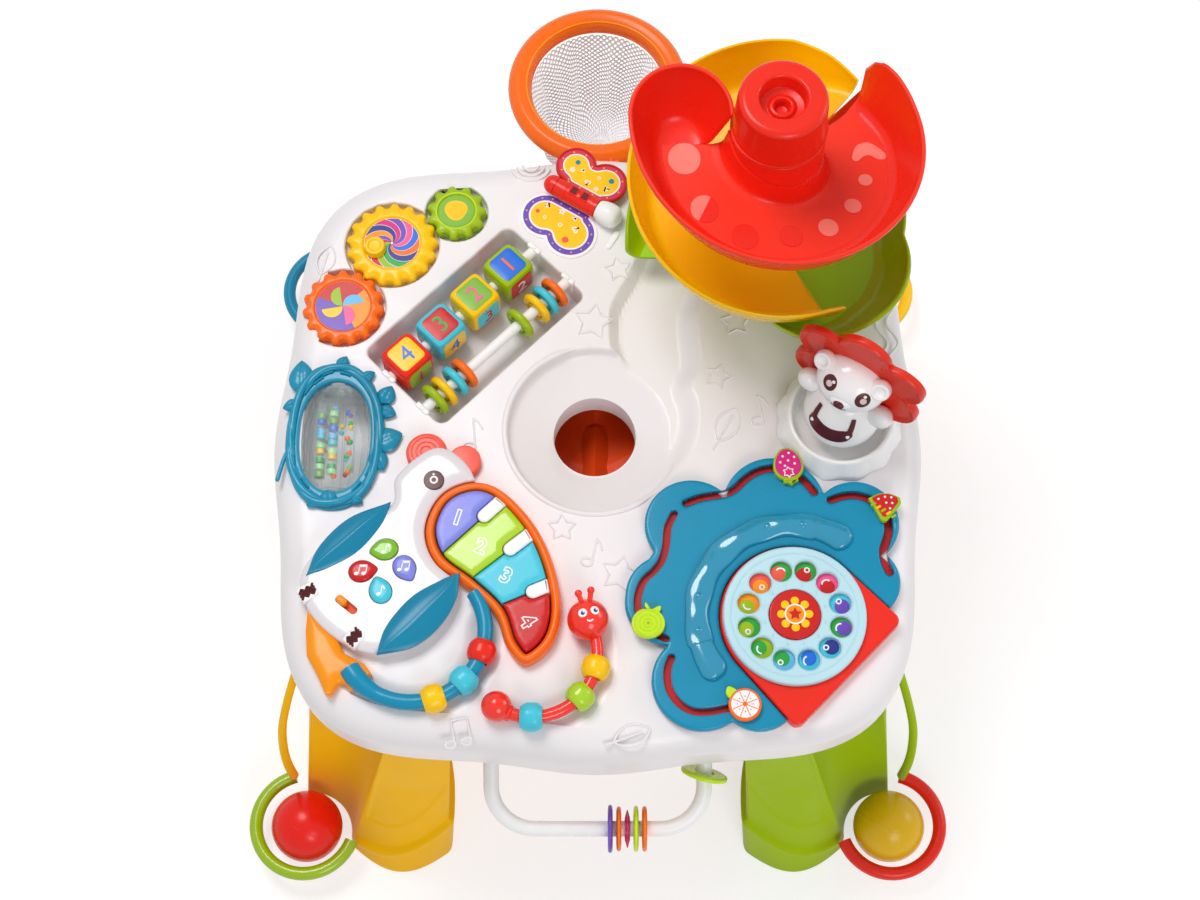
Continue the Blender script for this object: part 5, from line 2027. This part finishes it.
class TABLE_OT_bear(bpy.types.Operator):
    """Glossy white bear with a red flower behind it, in its faceted cup."""
    bl_idname = "table.bear"
    bl_label = "Bear"

    def execute(self, context):
        def place(rings):
            return posed(rings, (*BEAR, 0), BEAR_TURN)
        cup = Piece()
        # the cup flares in folds: its outer radius swings by 1.5 between twelve facets, more towards the foot
        a = np.arange(144) * 2.5
        fold = np.abs(np.mod(a / 30, 1) - 0.5) * 2
        rings = []
        for z, r, swing in ((H + 0.4, 41.6, 2.2), (H + 1.4, 41.4, 2.2), (H + 4.5, 39.6, 1.7),
                            (H + 8.5, 37.4, 1.1), (H + 12.0, 35.6, 0.5),
                            (H + 13.6, 34.8, 0.15), (H + 14.4, 34.0, 0), (H + 14.7, 33.0, 0),
                            (H + 14.3, 32.0, 0),
                            (H + 13.0, 31.3, 0), (H + 8.0, 30.2, 0), (H + 3.0, 29.2, 0), (H + 2.2, 28.2, 0),
                            (H + 2.0, 10, 0), (H + 2.0, 6.4, 0)):
            rings.append(level(polar(r - swing * fold, a), z))
        cup.rings(place(np.array(rings)), "white")
        cup.make("bear_cup_collar", replaces="bear_cup", slot="white", sharp=24)

        bear = Piece()
        profile = round_profile([(0, 249), (19, 249, 4), (25.2, 258, 9), (25.2, 268, 9), (20.6, 280, 8),
                                 (14.5, 290, 3), (0, 293)], 8)
        bear.rings(place(lathe(profile, n=80)), "bear_white")
        bear.rings(place(lathe([(0, 236), (5.8, 236), (5.8, 251), (0, 251)], n=28)), "bear_white")
        head = np.array((0, 3.5, 304.5))
        stretch = np.array((1.13, 1.0, 0.93))
        bear.rings(place(ball(20.5, head, 72, stretch)), "bear_white")
        muzzle = ball(1.0, (0, 0, 0), 32) * (9.5, 7.5, 6.0) + head + (0.8, -14.8, 1.5)
        bear.rings(place(muzzle), "bear_white")
        for s in (-1, 1):
            ear = lathe(round_profile([(0, -5.5), (5.0, -5.2, 2), (7.2, -0.5, 3), (5.6, 4.4, 1.6),
                                       (3.8, 4.3, 0.8), (3.0, 2.4, 0.8), (0, 1.9)]), n=40)
            bear.rings(place(posed(ear, (s * 19.5, 0.5, 316.5), 12 * s, 52)), "bear_white")
            arm = ball(1.0, (0, 0, 0), 36) * (7.4, 7.4, 10.5)
            bear.rings(place(posed(arm, (s * 24.5, -1, 283.5), 0, 24, s * 38)), "bear_white")

        def mark(toward, shape, finish, lift):
            out = Piece()
            on_ball(out, head, 20.5, toward, shape, finish, lift, stretch)
            bear.mesh(place(out.points[0]), out.faces, finish)

        eyes = ((-8.6, -14.2, 11.4), (11.6, -13.6, 9.4))
        for k, eye in enumerate(eyes):
            mark(eye, oval(4.7, 5.9, (12, -16)[k]), "brown", 0.25)
            mark(eye, oval(2.0, 2.3, 0, (0.2, -0.4)), "dot_pale", 0.40)
            mark(eye, oval(1.0, 1.1, 0, (1.5, 2.9)), "white", 0.45)
        nose = head + (1.2, -21.6, 3.6)
        tip = ball(1.0, (0, 0, 0), 24) * (3.6, 1.6, 2.4)
        bear.rings(place(posed(tip, nose, 0, -35)), "brown")
        for s in (-1, 1):
            u = np.linspace(0, 1, 7)[:, None]
            line = np.concatenate([0.2 * s + 4.6 * s * u, 0 * u,
                                   -3.2 - 1.7 * np.sin(math.pi * (0.15 + 0.75 * u))], 1)
            spots = line + (1.2, 0, 4.2)
            # drop each point to the muzzle's surface: y from its ellipsoid
            e = (spots - (0.8, 0, 1.5)) / (9.5, 1, 6.0)
            spots[:, 1] = -14.8 - 7.6 * np.sqrt(np.maximum(1 - e[:, 0] ** 2 - e[:, 2] ** 2, 0.02))
            bear.rings(place(tube(spots + head, 0.32, up=(0, 1, 0), n=8, ends=3)), "brown")

        def on_body(a, z, out):
            """A point on the bear's turned body: angle a from its front, height z, raised by out."""
            r = np.interp(z, profile[2:-1, 1], profile[2:-1, 0]) + out
            return np.stack([r * np.sin(np.radians(a)), -r * np.cos(np.radians(a)), z + 0 * r], -1)

        # pocket band: a bow across the belly, and two straps with buttons
        u, v = np.meshgrid(np.linspace(-38, 41, 33), np.linspace(0, 1, 7))
        swell = 1 - (np.abs(u) / 42) ** 6
        z = 267.5 + 0.0016 * u**2 + v * 9.5 * swell + (1 - swell) * 4.7
        plate = np.concatenate([on_body(u, z, 0.75 * np.ones_like(u)),
                                on_body(u, z, -0.6 * np.ones_like(u))[::-1]])
        bear.rings(place(plate), "brown", loop=True, wrap=False, caps=False)
        inner_u, inner_v = np.meshgrid(np.linspace(-12, 18, 15), np.linspace(0.2, 0.8, 5))
        z = 267.5 + 0.0016 * inner_u**2 + inner_v * 9.5
        pocket = np.concatenate([on_body(inner_u, z, 1.15 * np.ones_like(z)),
                                 on_body(inner_u, z, 0.2 * np.ones_like(z))[::-1]])
        bear.rings(place(pocket), "brown", loop=True, wrap=False, caps=False)
        for a0, a1 in ((-30, -38), (33, 44)):
            v = np.linspace(0, 1, 9)
            spots = on_body(a0 + (a1 - a0) * v, 273.5 + 12.5 * v, 0.5 * np.ones(9))
            bear.rings(place(sweep(spots, oval(2.3, 0.8), up=(math.sin(math.radians(a0)),
                                                              -math.cos(math.radians(a0)), 0),
                                   size=1 - 0.35 * v)), "brown")
            bear.rings(place(ball(1.3, on_body(np.array(a0), np.array(274.5), np.array(1.2)), 16)), "white")
        # flower behind: petals with a thick raised rim and creases between them
        petals = [circle(17.6, polar(29.6, q), 48) for q in range(30, 390, 60)] + [circle(36.5, n=72)]
        outline = union(*petals)
        cut = np.array([(-70, -34), (70, -34), (70, 70), (-70, 70)], float)
        outline = joined([outline, cut], lambda p: inside(p, outline) & inside(p, cut))[0]
        outline = softened(onward(outline), 1.2, 1.1)

        def relief(xy, _):
            """The flower's height: a raised rim round its edge, and creases every 60 degrees."""
            d = depth_in(xy, outline)
            lip = 1.7 * np.exp(-(((d - 2.0) / 1.6) ** 2))
            q = np.degrees(np.arctan2(xy[:, 1], xy[:, 0]))
            r = np.linalg.norm(xy, axis=1)
            off = np.radians(np.minimum(q % 60, 60 - q % 60)) * r
            crease = 0.8 * np.exp(-((off / 0.8) ** 2)) * (r > 22)
            return 4.2 - 0.9 * np.clip(d / 3, 0, 1) + lip - crease - 1.6 * np.clip(1 - d, 0, 1) ** 2

        sheet = Piece()
        dome(sheet, outline, 0.0, 4.2, 0.0, 3.0, "flower_red", step=1.3, shape=relief)
        for p in sheet.points:
            p[:] = place(posed(p, (2, 9.7, 306), 0, 90))
        bear.mesh(np.vstack(sheet.points), sheet.faces, "flower_red")
        bear.make("bear_figure", "bear", replaces="bear", slot="white", sharp=34)
        return {"FINISHED"}


def heart(size, n=36):
    """A plain heart: x = 16 sin^3 t, y = 13 cos t - 5 cos 2t - 2 cos 3t - cos 4t, scaled."""
    t = np.linspace(0, 2 * math.pi, n, endpoint=False)
    x, y = 16 * np.sin(t) ** 3, 13 * np.cos(t) - 5 * np.cos(2 * t) - 2 * np.cos(3 * t) - np.cos(4 * t)
    return onward(np.stack([x, y + 2], -1) * size / 17)


class TABLE_OT_butterfly(bpy.types.Operator):
    """Butterfly with a printed lower wing, a raised flap and a red capsule on the hinge."""
    bl_idname = "table.butterfly"
    bl_label = "Butterfly"

    def execute(self, context):
        def place(rings):
            return posed(rings, (*FLY, 0), FLY_TURN)

        def lobes(circles, box, grow):
            """The wing: its circles and the bar between them, all grown by the same amount."""
            parts = [circle(r + grow, (x, y), 64) for x, y, r in circles]
            (x0, y0), (x1, y1) = box
            parts.append(np.array([(x0 - grow, y0 - grow), (x1 + grow, y0 - grow), (x1 + grow, y1 + grow),
                                   (x0 - grow, y1 + grow)]))
            return softened(onward(union(*parts)), 1.2, 1.0)

        def drawn_in(outline, by):
            """The outline moved in by small steps and evened after each, so no notch crosses itself."""
            steps = max(1, round(by / 0.8))
            for _ in range(steps):
                moved = inset(outline, by / steps)
                far = gap_to(moved, outline) > 0.6 * by / steps
                outline = evenly(moved[far], 0.9)
            return outline

        def motifs(piece, z, marks, dots, dot_finish):
            """Printed signs, each a white one under a smaller yellow one, and plain dots."""
            for kind, x, y, size, turn in marks:
                shape = {"star": star(1.0, (0, 0), 90, 5, 0.52) * size, "heart": heart(size),
                         "ring": circle(size, n=20),
                         "tri": softened(np.array([(-0.9, -0.7), (0.9, -0.7), (0, 0.95)]) * size, 0.35,
                                         0.4)}[kind]
                shape = turned(onward(shape), turn) + (x, y)
                piece.printed(shape, z, "white", 0.12, place)
                piece.printed(inset(shape, 0.2 + 0.24 * size), z + 0.1, "tower", 0.12, place)
            for x, y, r in dots:
                piece.printed(circle(r, (x, y), 20), z, dot_finish, 0.14, place)

        def studs(piece, outline, z, inset_by, count, finish):
            """A row of small printed dots along the outline moved in."""
            line = evenly(inset(outline, inset_by), 1.0)
            for k in range(count):
                piece.printed(circle(0.55, line[int(len(line) * (k + 0.5) / count)], 12), z, finish, 0.12,
                              place)

        low = [(-13, -20, 15), (9, -23, 16)]
        low_box = ((-16, -16), (13, -5))
        fixed = Piece()
        fixed.slab(lobes(low, low_box, 2.2), H - 0.4, H + 1.2, "white", 0.8, pose=place)
        inlay = lobes(low, low_box, 0)
        fixed.printed(inlay, H + 1.2, "purple", 0.2, place)
        studs(fixed, inlay, H + 1.4, 1.9, 19, "tower")
        fixed.printed(drawn_in(inlay, 3.8), H + 1.35, "white", 0.15, place)
        fixed.printed(drawn_in(inlay, 5.0), H + 1.45, "tower", 0.15, place)
        motifs(fixed, H + 1.6, [("tri", -15.5, -12.5, 2.7, 12), ("star", -4.5, -11.8, 2.9, 10),
                                ("tri", 5.8, -11.5, 2.3, -20), ("ring", -12.5, -21.5, 1.2, 0),
                                ("ring", -0.5, -21.0, 1.5, 0), ("heart", 10.5, -18.5, 2.9, 150)],
               [(-19.0, -20.0, 1.5), (8.5, -29.0, 2.3)], "coral")
        for s in (-1, 1):
            post = rounded_box(6.0, 9.0, 1.5, (s * 20, 0))
            fixed.slab(post, H + 0.2, H + 6.6, "white", 0.8, pose=place)
        # rounded red end of the capsule, the pin, the white head and its feelers
        end = lathe(round_profile([(0, -25.2), (3.4, -24.8, 1.5), (6.3, -21.6, 2.5), (6.5, -16.4),
                                   (2.2, -16.4)], 6), n=44)
        fixed.rings(place(end[..., [2, 0, 1]] + (0, 0, H + 7.2)), "red", caps=False)
        end = lathe([(6.5, -16.4), (2.2, -16.3)], n=44)
        fixed.rings(place(end[..., [2, 0, 1]] + (0, 0, H + 7.2)), "red", caps=False)
        pin = lathe([(0, -18), (1.9, -18), (1.9, 18), (0, 18)], n=24)
        fixed.rings(place(pin[..., [2, 0, 1]] + (0, 0, H + 7)), "white")
        neck = lathe(round_profile([(0, 16.5), (6.2, 16.5, 0.6), (7.4, 19.5, 2), (8.6, 25.5, 4),
                                    (7.2, 32.0, 3), (0, 34.8)], 7), n=48)
        fixed.rings(place(neck[..., [2, 0, 1]] + (0, 0, H + 7.2)), "white")
        for x, y, turn, long in ((35.5, -4.5, -32, 15), (40, 5, 18, 10)):
            pad = turned(rounded_box(4.6, long, 2.2, (0, -long / 2)), turn + 31.6) + (x, y)
            fixed.slab(pad, H - 0.3, H + 1.6, "white", 1.2, pose=place)
        fixed.make("butterfly_lower", replaces="butterfly_body", slot="white", sharp=30)

        high = [(-13, 20, 14), (11, 19, 15)]
        high_box = ((-14, 3), (17, 16))
        flap = Piece()
        outline = lobes(high, high_box, 0)
        flap.slab(outline, H + 6.0, H + 8.4, "crimson", 0.9, 0.5, pose=place)
        rim = sweep(level(inset(outline, 1.1), H + 8.3), circle(0.9, n=10), closed=True)
        flap.rings(place(rim), "crimson", loop=True)
        flap.printed(inset(outline, 2.0), H + 8.4, "wing_pink", 0.15, place)
        studs(flap, outline, H + 8.55, 3.6, 15, "tower")
        flap.printed(drawn_in(outline, 4.9), H + 8.5, "white", 0.15, place)
        flap.printed(drawn_in(outline, 5.9), H + 8.6, "tower", 0.15, place)
        motifs(flap, H + 8.75, [("star", -13.5, 16.0, 2.6, 0), ("tri", -7.0, 19.5, 2.0, 10),
                                ("heart", 0.5, 12.5, 2.4, 10), ("ring", 5.5, 19.8, 1.2, 0),
                                ("star", 8.0, 11.5, 2.0, 0), ("tri", 14.0, 14.5, 2.8, 170)],
                                [(-13.2, 22.6, 1.8), (13.8, 22.0, 1.9)], "teal")
        tube_body = lathe(round_profile([(2.1, -16.1), (6.5, -16.1), (6.5, -8.2), (6.15, -7.9),
                                         (6.15, -7.6), (6.5, -7.3), (6.5, 16.1), (2.1, 16.1)]), n=48)
        flap.rings(place(tube_body[..., [2, 0, 1]] + (0, 0, H + 7)), "red", loop=True, caps=False)
        for x in (-2.5, 6.0):
            window = rounded_box(6.4, 6.8, 0.8, (x, 0.4))
            rings = [level(window, H + 11.3), level(window, H + 13.6), level(inset(window, 0.4), H + 13.95),
                     level(inset(window, 0.8), H + 13.95), level(inset(window, 1.1), H + 13.75)]
            flap.rings(place(np.array(rings)), "red")
            flap.printed(inset(window, 1.1), H + 13.8, "maroon", 0.1, place)
        flap.make("butterfly_flap", "wing_flap", replaces="wing_flap", slot="red", sharp=30)
        return {"FINISHED"}


# ---------------------------------------------------------------- legs, loops, balls, handle and inner parts

LEG_TOP = 196
LEG_PARTS = (40, 50, 34, 40, 26)  # points on the chute, front, inner side, back and outer side


def leg_outline(t):
    """The front left leg's outline at share t of its height: a hollow arc for the chute, then a front panel,
    an inner side, a back and an outer side, each a straight line with a half sine bow, corners softened."""
    def mix(a, b):
        return np.array(a, float) + (np.array(b, float) - a) * t

    def side(a, b, n, bow):
        u = (np.arange(n) / n)[:, None]
        return a + (b - a) * u + np.array(bow) * np.sin(math.pi * u)
    c, turn, half = mix((-206, -211), (-160, -178)), mix(45.5, 53.5), mix(54, 86)
    chute = arc(29, turn + half, turn - half, c, LEG_PARTS[0] + 1)
    inner, back, left = mix((-107.7, -222), (-93, -198)), mix((-116, -146),
                                                              (-108, -138)), mix((-196, -124), (-184, -118))
    bulge = 17 - 15 * min(1, 1.6 * t)
    p = np.vstack([chute[:-1], side(chute[-1], inner, LEG_PARTS[1], (0, -bulge)),
                   side(inner, back, LEG_PARTS[2], (4, 0)), side(back, left, LEG_PARTS[3], (0, 5)),
                   side(left, chute[0], LEG_PARTS[4], (-3, 0))])
    k = np.arange(-4, 5)
    w = np.exp(-((k / 1.5) ** 2))
    return sum(np.roll(p, j, 0) * v for j, v in zip(k, w / w.sum()))


def leg_relief(t):
    """How far the leg's surface stands out at share t: below the fold, which climbs from 0.08 beside the
    chute to 0.33 at the inner corner, it stands 3.4 proud with a rounded lip; a second faint step of 0.8
    runs above it on the front panel."""
    a, b, c, _, _ = LEG_PARTS
    f = np.arange(b) / b
    g = np.arange(c) / c
    fold, proud = np.full(sum(LEG_PARTS), -1.0), np.zeros(sum(LEG_PARTS))
    fold[a:a + b] = 0.085 + 0.245 * f**1.35
    fold[a + b:a + b + c] = 0.33 - 0.04 * g
    proud[a:a + b] = np.clip(f / 0.08, 0, 1)
    proud[a + b:a + b + c] = np.clip((1 - g) / 0.3, 0, 1)

    def step(x):
        x = np.clip(x, 0, 1)
        return x * x * (3 - 2 * x)
    out = proud * (3.0 * step((fold - t) / 0.02 + 0.3) + 0.8 * np.exp(-(((fold - 0.022 - t) / 0.02) ** 2)))
    line = np.full(sum(LEG_PARTS), 9.0)
    line[a + 4:a + b] = 0.29 + 0.42 * f[4:] ** 2.6
    return out - 0.8 * step((t - line) / 0.012) * (line < 9)


def leg_wall():
    """The hollow leg as one closed skin. Points run round the outline and levels run up the outside, over the
    top edge and down the inside, 3 further in. The wall reaches the top plate, except in the chute, where
    the top edge follows the trough: 166.5 - sqrt(25.5^2 - x^2), with x the way across the chute."""
    a, n = LEG_PARTS[0], sum(LEG_PARTS)
    shares = np.linspace(0, 1, 90)
    shapes = np.array([leg_outline(t) for t in shares])
    across = 29 * np.sin(np.radians(4.1 * (np.arange(a + 1) - a / 2)))
    gap = np.abs(across) < 25.5
    top = np.full(n, LEG_TOP - 2.5)
    top[:a + 1][gap] = 166.5 - np.sqrt(25.5**2 - across[gap] ** 2)

    def at(t):
        """The outline at its own share t for each point, straight between the nearest two shapes."""
        k = np.clip(t * (len(shares) - 1), 0, len(shares) - 1.001)
        low = k.astype(int)
        point = np.arange(n)
        return shapes[low, point] + (shapes[low + 1, point] - shapes[low, point]) * (k - low)[:, None]

    def ring(t, drop):
        p = at(t)
        if drop:
            return level(inset(p, drop), t * LEG_TOP)
        d = np.roll(p, -1, 0) - np.roll(p, 1, 0)
        d /= np.linalg.norm(d, axis=1, keepdims=True)
        return level(p + np.stack([d[:, 1], -d[:, 0]], -1) * leg_relief(t)[:, None], t * LEG_TOP)

    def climb(low, steps):
        full = np.full(n, 1.0)
        return [full * t for t in low] + [low[-1] + (top / LEG_TOP - low[-1]) * s
                                          for s in np.linspace(0, 1, steps + 1)[1:]]
    outside = [ring(t, 0) for t in climb(np.concatenate([np.linspace(0, 0.35, 44),
                                                         np.linspace(0.36, 0.66, 24)]), 12)]
    inside_wall = [ring(t, 3.0) for t in climb(np.linspace(0, 0.66, 7), 5)]
    return np.array(outside[::-1] + inside_wall)


class TABLE_OT_legs(bpy.types.Operator):
    """Four hollow legs with ball chutes, each with its guard rail."""
    bl_idname = "table.legs"
    bl_label = "Legs"

    def execute(self, context):
        wall = leg_wall()
        plate = leg_outline(0.97)
        rail = spline([(-193, -142, 197), (-203, -156, 165), (-210, -166, 135), (-214, -172, 100),
                       (-216, -175, 65), (-216, -176.5, 31)],
                      6, closed=False)
        section = oval(3.4, 2.4, n=20)
        for name, finish, sx, sy, slot in (("front_left", "leg", 1, 1, "leg_yellow"),
                                           ("front_right", "leg_lime", -1, 1, "lime"),
                                           ("rear_left", "red", 1, -1, "red"),
                                           ("rear_right", "orange", -1, -1, "orange")):
            leg = Piece()

            def mirrored(rings):
                return np.asarray(rings, float) * (sx, sy, 1)
            leg.rings(mirrored(wall), finish, loop=True, caps=False)
            leg.rings(mirrored(stacked(plate, [(0, LEG_TOP - 3), (0, LEG_TOP - 0.1)])), finish)
            leg.rings(mirrored(sweep(rail, section, up=(0.77, -0.63, 0))), finish)
            leg.make("leg_" + name + "_shell", replaces="leg_" + name, slot=slot, sharp=40)

        loops = Piece()
        for finish, sx, sy in (("lime_loop", 1, 1), ("red", -1, 1), ("teal", 1, -1), ("tower", -1, -1)):
            path = level(arc(35, 104, 340, (-207, -209.5), 72), 26)
            loops.rings(sweep(path, circle(4.75, n=28)) * (sx, sy, 1), finish)
        loops.make("foot_loop_set", replaces="foot_loops", slot="lime")

        for name, finish, x in (("ball_red", "ball_red", -206), ("ball_yellow", "ball_yellow", 206)):
            piece = Piece()
            centre = (x, -211, 25.4)
            seam = math.degrees(0.03)
            half = arc(25, -90, -seam, n=24)
            profile = np.vstack([half, [(24.99, -0.5), (24.78, 0), (24.99, 0.5)], arc(25, seam, 90, n=24)])
            piece.rings(posed(lathe(profile, n=80), centre, 62, 0, 74), finish)
            piece.make(name + "_play", name, replaces=name, slot="red" if x < 0 else "yellow", sharp=60)
        return {"FINISHED"}


class TABLE_OT_handle(bpy.types.Operator):
    """Bowed handle at the front with its rattle discs."""
    bl_idname = "table.handle"
    bl_label = "Handle"

    def execute(self, context):
        def place(rings):
            return posed(rings, (0, -180, 192), 0, 27)

        bar = Piece()
        bend, reach_out = 28.0, 66.2
        u_line = np.vstack([[(-68, 0.5)], arc(bend, 180, 270, (-68 + bend, -reach_out + bend), 20),
                            arc(bend, 270, 360, (68 - bend, -reach_out + bend), 20), [(68, 0.5)]])
        bar.rings(place(sweep(level(evenly(u_line, 2.0, closed=False), 0), oval(5.0, 5.0, n=32))), "white")
        for s in (-1, 1):
            seat = lathe(round_profile([(5.1, -9), (7.2, -8.6, 1), (8.2, -1, 1), (8.2, 1), (5.1, 1)]), n=36)
            bar.rings(place(seat[..., [0, 2, 1]] + (68 * s, 0, 0)), "white", loop=True, caps=False)
        bar.make("handle_bow", replaces="handle_bar", slot="white")

        discs = Piece()
        for x, r, finish, thick in ((8, 15.2, "purple", 1.6), (13.5, 14.2, "orange", 1.6),
                                    (19, 11.6, "magenta", 1.7), (24.5, 14.6, "lime_bright", 1.6),
                                    (30, 14.4, "orange", 1.6)):
            a = np.arange(72) * 5.0
            wave = 0.7 * np.cos(np.radians(12 * a)) if finish == "magenta" else 0 * a
            profile = [(5.35, -thick + 0.4), (6.0, -thick), (r - 3.2, -thick), (r - 0.9, -thick + 0.25),
                       (r, -thick + 1.0), (r, thick - 1.0), (r - 0.9, thick - 0.25), (r - 3.2, thick),
                       (6.0, thick), (5.35, thick - 0.4)]
            if finish == "magenta":
                profile = [(5.35, -1.7), (7, -1.7), (r, -0.3), (r, 0.3), (7, 1.7), (5.35, 1.7)]
            out, along_bar = np.array(profile).T[:, :, None]
            out = out + wave * (out > r - 1)
            rings = np.stack([along_bar + 0 * a, out * np.cos(np.radians(a)), out * np.sin(np.radians(a))],
                             -1) + (x, -reach_out, 0)
            discs.rings(place(rings), finish, loop=True, caps=False)
        discs.make("rattle_discs", "handle_discs", replaces="handle_discs", slot="purple")

        loose = Piece()
        side = [(6.3, -1.3), (7.0, -1.7), (13.6, -1.7), (14.7, -1.3), (15.2, -0.6)]
        ring = lathe(side + [(r, -w) for r, w in side[::-1]], n=72)[..., [0, 2, 1]]
        loose.rings(place(posed(ring, (68, -30.4, 0), -14)), "lime_bright", loop=True, caps=False)
        loose.make("rattle_disc_loose", "handle_disc_loose", replaces="handle_disc_loose", slot="lime")
        return {"FINISHED"}


class TABLE_OT_inner(bpy.types.Operator):
    """Finishes for the construction parts that stay as the frame has them."""
    bl_idname = "table.inner"
    bl_label = "Inner parts"

    def execute(self, context):
        for node, finish in (("tray_base", "base_white"), ("battery_door", "base_white"),
                             ("batteries", "steel"), ("sound_unit", "board"), ("screws", "steel"),
                             ("ball_diverter", "hole_red")):
            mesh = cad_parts[node].data
            count = max(1, len(mesh.materials))
            mesh.materials.clear()
            for _ in range(count):
                mesh.materials.append(finish_of(finish))
        return {"FINISHED"}


# ---------------------------------------------------------------- registration

STEPS = [TABLE_OT_finishes, TABLE_OT_stage, TABLE_OT_tray, TABLE_OT_tower, TABLE_OT_hoop, TABLE_OT_phone,
         TABLE_OT_dial, TABLE_OT_fruits, TABLE_OT_gears, TABLE_OT_blocks, TABLE_OT_drum, TABLE_OT_bird,
         TABLE_OT_keys, TABLE_OT_beads, TABLE_OT_bear, TABLE_OT_butterfly, TABLE_OT_legs, TABLE_OT_handle,
         TABLE_OT_inner]


class TABLE_PT_panel(bpy.types.Panel):
    """Lists the table's colours, sizes and building steps in the sidebar."""
    bl_idname = "TABLE_PT_panel"
    bl_label = "Activity Table"
    bl_space_type = "VIEW_3D"
    bl_region_type = "UI"
    bl_category = "Activity Table"

    def draw(self, context):
        column = self.layout.column()
        for step in STEPS:
            column.operator(step.bl_idname)
        for group in (context.scene.table_sizes, context.scene.table_colours):
            for key in group.__annotations__:
                column.prop(group, key)


CLASSES = [TableColours, TableSizes, *STEPS, TABLE_PT_panel]


def register():
    for cls in CLASSES:
        bpy.utils.register_class(cls)
    bpy.types.Scene.table_colours = PointerProperty(type=TableColours)
    bpy.types.Scene.table_sizes = PointerProperty(type=TableSizes)


def unregister():
    del bpy.types.Scene.table_colours, bpy.types.Scene.table_sizes
    for cls in reversed(CLASSES):
        bpy.utils.unregister_class(cls)


def main():
    register()
    for step in STEPS:
        getattr(bpy.ops.table, step.bl_idname.split(".")[1])()
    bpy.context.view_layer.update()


if __name__ == "__main__":
    main()
